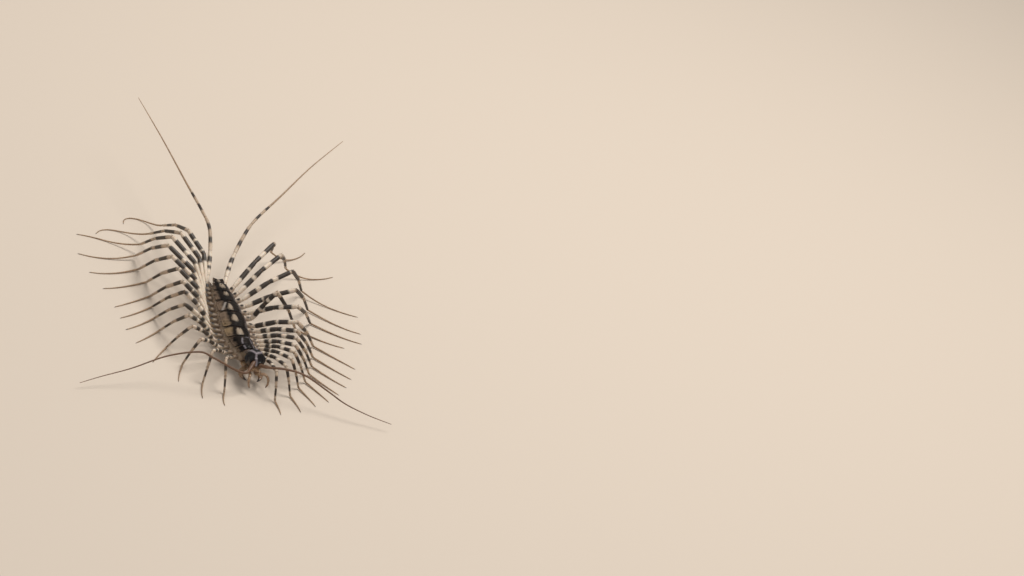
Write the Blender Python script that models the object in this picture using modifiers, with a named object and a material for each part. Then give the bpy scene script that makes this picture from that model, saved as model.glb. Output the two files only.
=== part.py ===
"""House centipede, life size, standing on a floor with its last pair of legs raised behind it.

The head faces -Y, the animal's left side is +X and the floor is at Z = 0.
Sizes are in millimetres until the last step, which turns every mesh to metres.
"""
import math

import bmesh
import bpy
import numpy as np
from mathutils import Matrix, Vector

NAME = "house_centipede"
METRES = 0.001
GAP = 0.3
LEFT, RIGHT = 1, -1
SIDE_NAME = {LEFT: "left", RIGHT: "right"}

# Stations along the body, front to rear, and the shape of the back at each
STATION_Y = (-10.0, -8.0, -6.0, -3.0, 0.0, 4.0, 8.0, 10.5, 12.6)
HALF_WIDTH = (1.5, 1.85, 2.15, 2.3, 2.3, 2.1, 1.7, 1.25, 0.75)
BACK_HEIGHT = (5.0, 4.9, 4.85, 4.85, 4.85, 4.75, 4.5, 4.15, 3.7)
BELLY_HEIGHT = (2.0, 1.85, 1.75, 1.7, 1.7, 1.75, 1.95, 2.2, 2.5)

# Where one trunk piece ends and the next begins, and the legs that each carries
TRUNK_ENDS = (-9.5, -8.2, -5.9, -3.2, 1.3, 4.65, 7.8, 10.45)
LEG_ROOT_Y = (-8.86, -7.58, -6.48, -5.14, -3.84, -2.45, -1.0, 0.5, 2.15, 3.8, 5.4, 7.0, 8.52, 9.72)
TRUNK_LEGS = ((1,), (2, 3), (4, 5), (6, 7, 8), (9, 10), (11, 12), (13, 14))
ROOT_HEIGHT = 2.9

# The back plates: how far they overhang, how thick they are and how they rise to the rear
PLATE_OVERHANG = 0.35
PLATE_THICKNESS = 0.42
PLATE_EDGE_HEIGHT = 4.0
PLATE_TILT = 0.22
PLATE_NOTCH = 0.55
PLATE_LAP = 0.14
SOCKET_LENGTH = 0.25
SADDLE_HEIGHT = 0.16

# The sideways bend of the neck and the slight bend of the tail
NECK_BEND, NECK_START, NECK_END = 1.5, -4.5, -12.5
TAIL_BEND, TAIL_START, TAIL_LENGTH = -0.4, 2.0, 8.0
TAIL_END = 12.0

HEAD_FRONT, HEAD_REAR = -13.15, -9.94
NECK_Y, NECK_HEIGHT = -9.8, 3.55
HEAD_HALF_WIDTH = 1.55
HEAD_TOP, HEAD_BOTTOM = 5.8, 2.8
LIP_HEIGHT, MOUTH_HEIGHT, NECK_START_HEIGHT = 3.4, 3.02, 3.9
HEAD_X_FROM = -11.8
EYE_CENTRE = (1.32, -11.45, 4.25)
EYE_HALF_SIZES = (0.42, 0.68, 0.5)

# Each leg's stance: knee, heel, heading of the long foot and the turn it makes to its tip.
# X and the heading are measured outwards from the middle, the heading from straight out to the rear.
STANCE = {
    RIGHT: (
        ((4.0, -13.5, 5.0), (3.4, -16.0, 0.3), -75, -20),
        ((6.0, -12.0, 5.2), (6.6, -14.0, 0.3), -75, -15),
        ((7.6, -9.5, 5.5), (9.2, -9.5, 0.3), -70, -10),
        ((8.6, -6.5, 5.8), (11.0, -5.0, 0.3), -55, -5),
        ((8.8, -4.0, 6.2), (11.5, -0.5, 0.3), -45, 5),
        ((9.2, -1.6, 6.6), (11.8, 3.0, 0.3), -42, 10),
        ((8.8, 1.6, 7.0), (11.6, 6.4, 0.3), -40, 10),
        ((8.8, 4.0, 7.4), (11.4, 9.6, 0.3), -36, 5),
        ((9.1, 7.2, 7.8), (11.4, 13.8, 0.3), -30, 15),
        ((9.9, 10.0, 8.2), (12.2, 17.4, 0.4), -28, 30),
        ((10.1, 13.0, 8.4), (12.4, 20.6, 1.0), -14, 30),
        ((9.0, 15.8, 8.5), (11.6, 23.0, 1.8), 26, -25),
        ((7.0, 18.0, 8.2), (9.6, 26.0, 2.4), 45, -110),
        ((5.4, 19.5, 8.0), (6.6, 29.5, 2.4), 75, -170),
    ),
    LEFT: (
        ((4.6, -14.2, 4.3), (5.0, -16.6, 0.3), -78, -15),
        ((6.4, -12.9, 4.7), (8.0, -14.6, 0.3), -70, -15),
        ((7.6, -11.2, 5.1), (10.0, -12.0, 0.3), -62, -10),
        ((8.2, -9.8, 5.6), (11.6, -10.0, 0.3), -55, -5),
        ((8.6, -8.4, 6.0), (12.8, -7.6, 0.3), -50, 5),
        ((8.9, -7.0, 6.5), (13.8, -5.2, 0.3), -46, 10),
        ((9.1, -5.6, 7.0), (14.6, -2.4, 0.3), -42, 5),
        ((9.5, -3.6, 7.4), (15.4, 1.0, 0.3), -38, 0),
        ((6.4, 1.6, 9.4), (13.2, 5.4, 0.3), -30, 20),
        ((10.6, 1.2, 7.4), (16.4, 8.0, 0.3), -32, 20),
        ((11.0, 5.4, 8.0), (16.8, 12.0, 0.4), -38, 25),
        ((11.4, 10.8, 8.3), (16.4, 16.6, 1.2), -30, 20),
        ((10.2, 15.2, 8.5), (14.4, 21.8, 2.0), 5, 30),
        ((9.6, 18.6, 8.5), (12.4, 26.0, 2.4), 20, 40),
    ),
}
FOOT_LENGTH = ((1, 4, 8, 12, 14), (3.2, 5.5, 8.0, 10.5, 10.0))

# The last pair of legs, held up and out behind, and the feelers, as the points they pass through
TRAILING_LEG = {
    RIGHT: ((-1.2, 11.5, 2.8), (-1.5, 12.5, 3.0), (-0.8, 16.9, 5.0), (-0.7, 21.7, 7.6),
            (-1.9, 25.4, 9.0), (-4.0, 31.5, 10.4), (-6.5, 43.4, 11.5), (-8.9, 57.0, 11.8)),
    LEFT: ((1.2, 11.5, 2.8), (1.6, 12.5, 3.0), (3.0, 16.7, 4.8), (5.6, 22.0, 7.0),
           (8.1, 25.8, 8.5), (13.5, 32.5, 9.9), (21.3, 43.2, 11.0), (30.0, 54.6, 11.4)),
}
FEELER_FROM = (-11.75, 4.05)
FEELER = {
    RIGHT: ((-0.86, -1.53, 0.1), (-1.6, -2.7, -0.4), (-2.75, -3.1, -0.35), (-4.57, -3.5, 0.45), (-6.5, -3.5, 1.3),
            (-8.3, -3.3, 1.9), (-10.6, -3.1, 2.45), (-15.5, -3.4, 1.1), (-21.0, -5.1, -0.9), (-25.6, -6.4, -2.2),
            (-29.0, -7.7, -3.0)),
    LEFT: ((0.83, -1.43, 0.25), (1.9, -2.6, 0.9), (4.2, -3.4, 1.5), (7.4, -4.0, 1.2), (11.4, -5.4, -0.3),
           (14.5, -6.8, -1.4), (18.4, -8.0, -2.2), (22.3, -9.0, -2.7)),
}
PALP = {
    RIGHT: ((0.45, -12.1, 2.42), (0.5, -12.6, 2.22), (0.6, -13.2, 2.4), (0.85, -13.9, 2.7),
            (1.05, -14.5, 2.4), (1.0, -14.9, 1.7), (0.7, -15.1, 1.05)),
    LEFT: ((0.45, -12.1, 2.42), (0.55, -12.6, 2.25), (0.95, -13.1, 2.6), (1.6, -13.5, 2.95),
           (2.15, -13.9, 2.7), (2.35, -14.3, 1.9), (2.05, -14.6, 1.15)),
}

# Half thicknesses along a leg: coxa, prefemur, femur, knee, tibia, first and second tarsus, tip
COXA_RADIUS, PREFEMUR_RADIUS, FEMUR_RADIUS, KNEE_RADIUS = 0.44, 0.46, 0.42, 0.34
TIBIA_RADIUS, HEEL_RADIUS, FOOT_RADIUS, TIP_RADIUS = 0.34, 0.27, 0.25, 0.12
COXA_LENGTH = 1.5
GIRTH = ((1, 4, 8), (0.74, 0.82, 1.0))

# From the middle legs to the rear ones: how much a coxa follows its leg, how far it reaches up,
# and how far the leg's first bend is drawn in towards the body
FOLLOW = ((8, 13, 14), (0.35, 0.5, 0.85))
COXA_RISE = ((8, 14), (0.1, 0.7))
BOW = {LEFT: ((8, 14), (0.0, 0.0)), RIGHT: ((6, 10, 14), (0.0, 1.0, 1.1))}

COLOURS = {
    "plate": ((0.018, 0.018, 0.024), 0.35),
    "flank": ((0.23, 0.17, 0.11), 0.45),
    "leg": ((0.55, 0.46, 0.34), 0.4),
    "feeler": ((0.17, 0.08, 0.035), 0.45),
    "mouthparts": ((0.36, 0.17, 0.06), 0.35),
    "eye": ((0.006, 0.006, 0.008), 0.18),
}


def clear_scene():
    """Starts from an empty scene."""
    for thing in list(bpy.data.objects):
        bpy.data.objects.remove(thing, do_unlink=True)


def make_material(name, colour, roughness):
    """A plain horn-like surface in the part's own colour."""
    material = bpy.data.materials.new(name)
    material.use_nodes = True
    shader = material.node_tree.nodes["Principled BSDF"]
    shader.inputs["Base Color"].default_value = (*colour, 1.0)
    shader.inputs["Roughness"].default_value = roughness
    shader.inputs["Metallic"].default_value = 0.0
    return material


clear_scene()
ANIMAL = bpy.data.collections.new(NAME)
CUTTERS = bpy.data.collections.new("cutters")
bpy.context.scene.collection.children.link(ANIMAL)
bpy.context.scene.collection.children.link(CUTTERS)


# Small tools for closed meshes

def add_object(name, bm, collection=ANIMAL):
    """Turns a bmesh into an object with its faces pointing out."""
    bmesh.ops.recalc_face_normals(bm, faces=bm.faces)
    mesh = bpy.data.meshes.new(name)
    bm.to_mesh(mesh)
    bm.free()
    thing = bpy.data.objects.new(name, mesh)
    collection.objects.link(thing)
    return thing


def finish(thing, kind):
    """Gives a node its own material and smooth shading."""
    colour, roughness = COLOURS[kind]
    thing.data.materials.clear()
    thing.data.materials.append(make_material(thing.name + "_" + kind, colour, roughness))
    thing.data.shade_smooth()
    thing.data.set_sharp_from_angle(angle=math.radians(40))
    return thing


def bake(thing):
    """Applies an object's modifiers to its mesh."""
    depsgraph = bpy.context.evaluated_depsgraph_get()
    baked = bpy.data.meshes.new_from_object(thing.evaluated_get(depsgraph))
    thing.modifiers.clear()
    thing.data = baked


def keep_largest_body(thing):
    """Drops every closed surface of the mesh but the one with the most volume."""
    bm = bmesh.new()
    bm.from_mesh(thing.data)
    waiting = set(bm.faces)
    bodies = []
    while waiting:
        stack = [waiting.pop()]
        body = set(stack)
        while stack:
            for edge in stack.pop().edges:
                for face in edge.link_faces:
                    if face in waiting:
                        waiting.remove(face)
                        body.add(face)
                        stack.append(face)
        bodies.append(body)

    def volume(body):
        total = 0.0
        for face in body:
            first = face.verts[0].co
            for a, b in zip(face.verts[1:-1], face.verts[2:]):
                total += first.dot(a.co.cross(b.co)) / 6
        return abs(total)

    bodies.sort(key=volume, reverse=True)
    for body in bodies[1:]:
        bmesh.ops.delete(bm, geom=list(body), context="FACES")
    bmesh.ops.remove_doubles(bm, verts=bm.verts, dist=0.0001)
    bm.to_mesh(thing.data)
    bm.free()


def combine(thing, others, operation):
    """Joins closed pieces to a body, or cuts them out of it, and removes them."""
    group = bpy.data.collections.new(thing.name + "_" + operation.lower())
    for other in others:
        group.objects.link(other)
    step = thing.modifiers.new(operation.lower(), "BOOLEAN")
    step.operation = operation
    step.operand_type = "COLLECTION"
    step.collection = group
    step.solver = "EXACT"
    step.use_self = True
    step.use_hole_tolerant = True
    bake(thing)
    for other in others:
        bpy.data.objects.remove(other, do_unlink=True)
    bpy.data.collections.remove(group)
    keep_largest_body(thing)


def tube(name, points, radii, collection=ANIMAL):
    """A round limb of changing thickness along a line, six-sided with one side down."""
    curve = bpy.data.curves.new(name, "CURVE")
    curve.dimensions = "3D"
    curve.twist_mode = "Z_UP"
    curve.bevel_depth = 1.0
    curve.bevel_resolution = 1
    curve.use_fill_caps = True
    spline = curve.splines.new("POLY")
    spline.points.add(len(points) - 1)
    for knot, place, radius in zip(spline.points, points, radii):
        knot.co = (*place, 1.0)
        knot.radius = radius
    line = bpy.data.objects.new(name + "_line", curve)
    collection.objects.link(line)
    depsgraph = bpy.context.evaluated_depsgraph_get()
    mesh = bpy.data.meshes.new_from_object(line.evaluated_get(depsgraph))
    bpy.data.objects.remove(line, do_unlink=True)
    bm = bmesh.new()
    bm.from_mesh(mesh)
    bmesh.ops.remove_doubles(bm, verts=bm.verts, dist=0.0001)
    return add_object(name, bm, collection)


def ellipsoid(name, centre, half_sizes, segments=16, rings=10, collection=ANIMAL):
    """A rounded lump."""
    bm = bmesh.new()
    bmesh.ops.create_uvsphere(bm, u_segments=segments, v_segments=rings, radius=1.0)
    bm.transform(Matrix.Translation(centre) @ Matrix.Diagonal((*half_sizes, 1.0)))
    return add_object(name, bm, collection)


def cone(name, start, end, start_radius, end_radius, sides=8, collection=ANIMAL):
    """A capped cone or cylinder between two points."""
    start, end = Vector(start), Vector(end)
    bm = bmesh.new()
    bmesh.ops.create_cone(bm, cap_ends=True, segments=sides, radius1=start_radius, radius2=end_radius,
                          depth=(end - start).length)
    turn = Vector((0, 0, 1)).rotation_difference(end - start).to_matrix().to_4x4()
    bm.transform(Matrix.Translation((start + end) / 2) @ turn)
    return add_object(name, bm, collection)


def loft(name, rings, collection=ANIMAL):
    """A closed skin over a row of unlike sections with the same number of points."""
    bm = bmesh.new()
    rows = [[bm.verts.new(point) for point in ring] for ring in rings]
    count = len(rings[0])
    for front, rear in zip(rows, rows[1:]):
        for k in range(count):
            bm.faces.new((front[k], front[(k + 1) % count], rear[(k + 1) % count], rear[k]))
    bm.faces.new(rows[0])
    bm.faces.new(rows[-1])
    return add_object(name, bm, collection)


# The body's line and outline

def smooth(t):
    """Eases from 0 to 1."""
    t = min(max(t, 0.0), 1.0)
    return t * t * (3 - 2 * t)


def middle(y):
    """Sideways place of the body's middle line."""
    neck = NECK_BEND * smooth((NECK_START - y) / (NECK_START - NECK_END))
    tail = TAIL_BEND * min(max((y - TAIL_START) / TAIL_LENGTH, 0.0), 1.0)
    return neck + tail


def sideways(y):
    """The direction across the body at one place, towards the animal's left."""
    slope = (middle(y + 0.05) - middle(y - 0.05)) / 0.1
    return Vector((1.0, -slope, 0.0)).normalized()


def on_body(across, y, height):
    """A point given by its place across, along and above the bent body."""
    return Vector((middle(y), y, height)) + sideways(y) * across


def half_width(y):
    return float(np.interp(y, STATION_Y, HALF_WIDTH))


def back_height(y):
    return float(np.interp(y, STATION_Y, BACK_HEIGHT))


def belly_height(y):
    return float(np.interp(y, STATION_Y, BELLY_HEIGHT))


def flank(y):
    """Half width of the body under the edge of its plates."""
    return half_width(y) - PLATE_OVERHANG


def body_section(y, swell):
    """The body's cut across at one place, without its back plate."""
    width, low, high = flank(y) * swell, belly_height(y), back_height(y) - PLATE_THICKNESS / 2
    half = ((0.0, low), (0.6 * width, low), (0.95 * width, low + 0.45), (width, low + 1.0),
            (width, 3.6), (0.9 * width, 3.95), (0.55 * width, high - 0.15), (0.0, high))
    right_half = [(-x, z) for x, z in half[-2:0:-1]]
    return [on_body(x, y, z) for x, z in list(half) + right_half]


# Trunk: a rounded body piece, one raised back plate and a socket for each leg

def back_plate(front, rear, columns=12, rows=6):
    """One shield of the back, notched in the middle of its rear edge, where its air hole opens."""
    size = min(1.0, (rear - front) / 2.4)
    bm = bmesh.new()
    bmesh.ops.create_grid(bm, x_segments=columns, y_segments=rows, size=1.0)
    for vert in bm.verts:
        across, along = vert.co.x, (vert.co.y + 1) / 2
        notch = size * PLATE_NOTCH * math.exp(-(across / 0.22) ** 2)
        start = front + size * 0.4 * abs(across) ** 3
        end = rear - notch - size * 0.18 * (1 - abs(across) ** 3)
        y = start + (end - start) * along
        edge = 1 - 0.1 * (1 - along) ** 2 - 0.05 * along ** 6
        width = half_width(y) * edge
        dome = (1 - abs(across) ** 2.4) * (back_height(y) - PLATE_EDGE_HEIGHT)
        saddle = SADDLE_HEIGHT * math.exp(-(across / 0.2) ** 2 - ((along - 0.72) / 0.24) ** 2)
        z = PLATE_EDGE_HEIGHT + dome + PLATE_TILT * (along - 0.5) * (1 - 0.5 * across ** 2) + saddle
        vert.co = on_body(across * width, y, z)
    thing = add_object("plate", bm)
    shell = thing.modifiers.new("thickness", "SOLIDIFY")
    shell.thickness = PLATE_THICKNESS
    shell.offset = -1.0
    bake(thing)
    return thing


def at_leg(number, values):
    """Reads off a value that changes evenly from leg to leg."""
    return float(np.interp(number, *values))


def girth(number):
    """How thick a leg is beside the full-sized ones; the first few are slighter."""
    return at_leg(number, GIRTH)


def leg_socket(number, side):
    """The short collar on the flank that a leg stands in."""
    y = LEG_ROOT_Y[number - 1]
    radius = COXA_RADIUS * girth(number)
    inside = on_body(side * (flank(y) - 0.5), y, ROOT_HEIGHT)
    outside = on_body(side * (flank(y) + SOCKET_LENGTH), y, ROOT_HEIGHT)
    return cone("socket", inside, outside, radius + 0.1, radius + 0.02)


def trunk_piece(index):
    """One of the seven pieces of the trunk."""
    front, rear = TRUNK_ENDS[index] + GAP / 2, TRUNK_ENDS[index + 1] - GAP / 2
    steps = 4
    rings = []
    for k in range(steps + 1):
        along = k / steps
        swell = 1 - 0.07 * abs(2 * along - 1) ** 3 - (0.22 * (1 - along) ** 2 if index == 0 else 0)
        rings.append(body_section(front + (rear - PLATE_LAP - front) * along, swell))
    body = loft("trunk_%d" % (index + 1), rings)
    pieces = [back_plate(front + PLATE_LAP / 2, rear)]
    if index == 0:
        pieces.append(ellipsoid("jaw_base", on_body(0, -9.55, 2.0), (1.15, 0.8, 0.4), 14, 8))
    for leg in TRUNK_LEGS[index]:
        for side in (LEFT, RIGHT):
            pieces.append(leg_socket(leg, side))
    combine(body, pieces, "UNION")
    return finish(body, "plate")


def tail_piece():
    """The last body piece, with its small plate, the two end valves and the sockets of the trailing legs."""
    front, rear = TRUNK_ENDS[-1] + GAP / 2, TAIL_END
    rings = [body_section(front + (rear - front) * k / 3, 1 - 0.35 * (k / 3) ** 2) for k in range(4)]
    body = loft("tail", rings)
    pieces = [back_plate(front + PLATE_LAP / 2, rear + 0.1, columns=10, rows=4)]
    pieces.append(ellipsoid("valves", (middle(rear), rear + 0.1, 3.0), (0.36, 0.8, 0.5), 12, 8))
    for side in (LEFT, RIGHT):
        root, ahead = trailing_point(side, 0), trailing_point(side, 1)
        inward = (root - ahead).normalized()
        pieces.append(cone("socket", root + inward * 0.85, root + inward * GAP, 0.5, 0.42))
    combine(body, pieces, "UNION")
    return finish(body, "plate")


# Head

def head_piece():
    """The domed head with its eye sockets, feeler rings, brow and mouth line."""
    centre = Vector((middle(HEAD_X_FROM), (HEAD_FRONT + HEAD_REAR) / 2, (HEAD_TOP + HEAD_BOTTOM) / 2))
    half = Vector((HEAD_HALF_WIDTH, (HEAD_REAR - HEAD_FRONT) / 2, (HEAD_TOP - HEAD_BOTTOM) / 2))
    bm = bmesh.new()
    bmesh.ops.create_uvsphere(bm, u_segments=20, v_segments=12, radius=1.0)
    bm.transform(Matrix.Rotation(math.pi / 2, 4, "X"))
    for vert in bm.verts:
        x, y, z = vert.co
        squareness = 1 + 0.12 * (1 - abs(x)) * (1 - abs(z))
        crown = 1 + 0.28 * max(y, 0) * max(z, 0)
        front = smooth((-y - 0.1) / 0.9)
        z = z * crown * (1 - (0.47 if z > 0 else 0.22) * front) - 0.16 * front
        x = x * (1 - 0.16 * front + 0.05 * smooth(y))
        vert.co = centre + Vector((x * half.x * squareness, y * crown * half.y, z * half.z * squareness))
    head = add_object("head", bm)
    pieces = []
    for side in (LEFT, RIGHT):
        root, ahead = feeler_point(side, 0), feeler_point(side, 1)
        inward = (root - ahead).normalized()
        pieces.append(cone("feeler_ring", root + inward * 1.1, root + inward * GAP, 0.44, 0.36))
    pieces.append(ellipsoid("upper_lip", (centre.x, centre.y - 1.2, LIP_HEIGHT), (0.75, 0.55, 0.42), 12, 8))
    neck_start = (centre.x, centre.y + 0.6, NECK_START_HEIGHT)
    neck_end = (middle(NECK_Y), NECK_Y, NECK_HEIGHT)
    pieces.append(cone("neck", neck_start, neck_end, 1.05, 0.85, sides=12))
    combine(head, pieces, "UNION")
    cuts = []
    for side in (LEFT, RIGHT):
        x, y, z = EYE_CENTRE
        socket_centre = (centre.x + side * x, y, z)
        socket_halves = [half_size + GAP for half_size in EYE_HALF_SIZES]
        cuts.append(ellipsoid("eye_socket", socket_centre, socket_halves, 16, 10, collection=CUTTERS))
    line_ends = [(centre.x + across, centre.y - 1.62, MOUTH_HEIGHT) for across in (-0.9, 0.9)]
    cuts.append(cone("mouth_line", *line_ends, 0.2, 0.2, sides=6, collection=CUTTERS))
    for cutter in cuts:
        cutter.hide_render = True
        cutter.display_type = "WIRE"
    combine(head, cuts, "DIFFERENCE")
    return finish(head, "plate")


def eye_piece(side):
    """One large compound eye on the side of the head."""
    x, y, z = EYE_CENTRE
    eye = ellipsoid("eye_" + SIDE_NAME[side], (middle(HEAD_X_FROM) + side * x, y, z), EYE_HALF_SIZES, 14, 9)
    return finish(eye, "eye")


def feeler_point(side, number):
    """A point of the feeler's line, which is given from the middle of the head's front."""
    return Vector((middle(HEAD_X_FROM), *FEELER_FROM)) + Vector(FEELER[side][number])


def through(points, steps):
    """Points evenly spread on a smooth line through a few given ones."""
    knots = [Vector(p) for p in points]
    knots = [2 * knots[0] - knots[1]] + knots + [2 * knots[-1] - knots[-2]]
    line = []
    for a, b, c, d in zip(knots, knots[1:], knots[2:], knots[3:]):
        for k in range(12):
            t = k / 12
            line.append(0.5 * (2 * b + (c - a) * t + (2 * a - 5 * b + 4 * c - d) * t ** 2
                               + (3 * b - a - 3 * c + d) * t ** 3))
    line.append(knots[-2])
    run = [0.0]
    for a, b in zip(line, line[1:]):
        run.append(run[-1] + (b - a).length)
    wanted = np.linspace(0, run[-1], steps)
    axes = [np.interp(wanted, run, [p[axis] for p in line]) for axis in range(3)]
    return [Vector(p) for p in zip(*axes)]


def feeler_piece(side):
    """One long feeler, thick at its base and drawn out to a thread."""
    points = through([feeler_point(side, k) for k in range(len(FEELER[side]))], 22)
    radii = [0.3 - 0.05 * min(k / 6, 1) - 0.13 * max(0, (k - 12) / 9) for k in range(len(points))]
    return finish(tube("antenna_" + SIDE_NAME[side], points, radii), "feeler")


# Mouthparts

def jaw_piece(side):
    """One curved poison claw under the head, its point turned in below the mouth."""
    x = middle(HEAD_X_FROM) - 0.1
    shape = ((0.75, -10.75, 1.9), (1.25, -11.15, 1.8), (1.65, -11.95, 1.65), (1.45, -12.85, 1.5),
             (0.85, -13.45, 1.35))
    points = through([(x + side * a, b, c) for a, b, c in shape], 9)
    radii = (0.4, 0.44, 0.46, 0.44, 0.4, 0.35, 0.3, 0.22, 0.1)
    return finish(tube("forcipule_" + SIDE_NAME[side], points, radii), "mouthparts")


def palp_piece(side):
    """One slender palp that reaches forward and down beside the mouth."""
    x = middle(HEAD_X_FROM)
    points = through([(x + side * a, b, c) for a, b, c in PALP[side]], 9)
    radii = (0.27, 0.27, 0.26, 0.26, 0.26, 0.25, 0.24, 0.18, 0.1)
    return finish(tube("palp_" + SIDE_NAME[side], points, radii), "mouthparts")


# Legs

def corner(before, joint, after, reach):
    """Three points that round a joint off."""
    into = joint + (before - joint).normalized() * reach
    out = joint + (after - joint).normalized() * reach
    return [into, (into + out) / 4 + joint / 2, out]


def foot_line(side, number, heel, heading, curl):
    """The long many-jointed foot, which comes down from the heel and lies along the floor."""
    length = at_leg(number, FOOT_LENGTH)
    steps = 24
    place = heel.copy()
    line = []
    for k in range(1, steps + 1):
        along = (k - 0.5) / steps
        angle = math.radians(heading + curl * along ** 2)
        place = place + Vector((side * math.cos(angle), math.sin(angle), 0)) * (length / steps)
        line.append(place.copy())
    kept = line[3::4] if curl > -90 else line[2::3]
    points, radii = [], []
    for k, point in enumerate(kept):
        along = (k + 1) / len(kept)
        radius = FOOT_RADIUS + (TIP_RADIUS - FOOT_RADIUS) * along ** 2
        rest = radius * math.cos(math.pi / 6)
        lift = max(0.0, 1 - along / 0.6) ** 2
        points.append(Vector((point.x, point.y, rest + max(0.0, heel.z - rest) * lift)))
        radii.append(radius)
    return points, radii


def walking_leg(side, number):
    """One walking leg from its socket over the knee to the floor."""
    knee, heel, heading, curl = STANCE[side][number - 1]
    y = LEG_ROOT_Y[number - 1]
    outward = sideways(y) * side
    root = on_body(side * (flank(y) + SOCKET_LENGTH + GAP), y, ROOT_HEIGHT)
    knee = Vector((side * knee[0], knee[1], knee[2]))
    heel = Vector((side * heel[0], heel[1], heel[2]))
    reach = ((knee - root) * Vector((1, 1, 0))).normalized()
    follow = at_leg(number, FOLLOW)
    hip = root + COXA_LENGTH * reach.lerp(outward, 1 - follow) + Vector((0, 0, at_leg(number, COXA_RISE)))
    bow = Vector((-side * at_leg(number, BOW[side]), 0, 0.06 * (knee - hip).length))
    thigh = hip.lerp(knee, 0.5) + bow
    ankle = knee + (heel - knee) * 0.55 + Vector((0, 0, 0.05 * (heel - knee).length))
    foot, foot_radii = foot_line(side, number, heel, heading, curl)
    start = root + outward * 0.35
    points = [root, start]
    radii = [COXA_RADIUS, COXA_RADIUS]
    points += corner(start, hip, thigh, 0.35)
    radii += [COXA_RADIUS, 0.33, PREFEMUR_RADIUS * 0.9]
    points.append(hip.lerp(thigh, 0.55))
    radii.append(PREFEMUR_RADIUS)
    points += corner(hip, thigh, knee, 0.35)
    radii += [FEMUR_RADIUS, 0.36, FEMUR_RADIUS]
    points += corner(thigh, knee, ankle, 0.5)
    radii += [FEMUR_RADIUS, KNEE_RADIUS, TIBIA_RADIUS]
    points += corner(knee, ankle, heel, 0.3)[::2]
    radii += [TIBIA_RADIUS * 0.9, HEEL_RADIUS]
    points += corner(ankle, heel, foot[0], 0.3)[::2]
    radii += [HEEL_RADIUS, FOOT_RADIUS]
    points += foot
    radii = [radius * girth(number) for radius in radii] + foot_radii
    leg = tube("leg_%s_%02d" % (SIDE_NAME[side], number), points, radii)
    for vert in leg.data.vertices:
        if vert.co.z < 0.04:
            vert.co.z = 0.0
    return finish(leg, "leg")


def trailing_point(side, number):
    """A point of the trailing leg's line, which is given from the middle of the tail."""
    return Vector((middle(TAIL_END), 0, 0)) + Vector(TRAILING_LEG[side][number])


def trailing_leg(side):
    """One leg of the last pair, much the longest, held up behind the animal."""
    points = through([trailing_point(side, k) for k in range(len(TRAILING_LEG[side]))], 26)
    fractions = (0, 0.03, 0.055, 0.2, 0.22, 0.4, 0.5, 1.0)
    widths = (0.4, 0.36, 0.45, 0.42, 0.36, 0.32, 0.25, 0.13)
    radii = np.interp(np.linspace(0, 1, len(points)), fractions, widths)
    return finish(tube("leg_%s_15" % SIDE_NAME[side], points, radii), "leg")


def settle():
    """Puts the middle of the animal's box over the origin and turns millimetres to metres."""
    corners = [vert.co for thing in ANIMAL.objects for vert in thing.data.vertices]
    low = Vector([min(c[axis] for c in corners) for axis in range(3)])
    high = Vector([max(c[axis] for c in corners) for axis in range(3)])
    shift = Matrix.Translation((-(low.x + high.x) / 2, -(low.y + high.y) / 2, 0))
    for thing in ANIMAL.objects:
        thing.data.transform(Matrix.Scale(METRES, 4) @ shift)


def main():
    head_piece()
    for side in (LEFT, RIGHT):
        eye_piece(side)
        feeler_piece(side)
        jaw_piece(side)
        palp_piece(side)
    for index in range(len(TRUNK_LEGS)):
        trunk_piece(index)
    tail_piece()
    for side in (LEFT, RIGHT):
        for number in range(1, len(LEG_ROOT_Y) + 1):
            walking_leg(side, number)
        trailing_leg(side)
    settle()


main()
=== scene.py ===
# %% [markdown]
# # A house centipede, dressed over its solids
# The animal has a flat trunk under raised back plates, fifteen pairs of banded legs that grow longer towards
# the rear, and two ringed feelers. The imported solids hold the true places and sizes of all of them.
# This lesson loads the solids, repeats the sizes that they were built from, and makes each part again with
# finer shape and a finish of its own. The plates, eyes and claws stay separate pieces, as on the animal,
# and the soft skin under them is one piece.

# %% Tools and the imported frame
import math

import bmesh
import bpy
import numpy as np
from mathutils import Matrix, Vector, noise


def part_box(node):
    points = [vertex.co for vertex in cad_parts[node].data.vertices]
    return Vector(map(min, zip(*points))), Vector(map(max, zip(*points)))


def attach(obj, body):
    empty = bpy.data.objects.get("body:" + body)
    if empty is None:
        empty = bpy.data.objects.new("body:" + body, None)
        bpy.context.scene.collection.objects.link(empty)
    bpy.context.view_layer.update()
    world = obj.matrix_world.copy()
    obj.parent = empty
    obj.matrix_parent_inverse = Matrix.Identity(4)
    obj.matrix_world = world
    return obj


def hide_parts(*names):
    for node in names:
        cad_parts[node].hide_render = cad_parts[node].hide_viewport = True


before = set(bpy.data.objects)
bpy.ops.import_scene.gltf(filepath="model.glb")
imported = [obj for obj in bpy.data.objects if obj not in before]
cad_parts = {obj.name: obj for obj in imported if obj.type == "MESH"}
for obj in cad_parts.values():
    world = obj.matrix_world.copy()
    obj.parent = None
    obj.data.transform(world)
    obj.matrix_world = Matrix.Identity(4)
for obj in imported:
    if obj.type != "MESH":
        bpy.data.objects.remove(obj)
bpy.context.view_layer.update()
LEFT, RIGHT = 1, -1
SIDES = (LEFT, RIGHT)
SIDE_NAME = {LEFT: "left", RIGHT: "right"}
print("solids", len(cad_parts))

# %% [markdown]
# ## The animal's own measures
# All sizes are in millimetres, in the animal's frame: the head faces -Y, its left side is +X and the floor is
# at Z = 0. They are the named sizes that shape the solids, so each finer piece lies where its solid is.
# One more step, `place`, moves points to the model's origin and turns them to metres.

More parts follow.
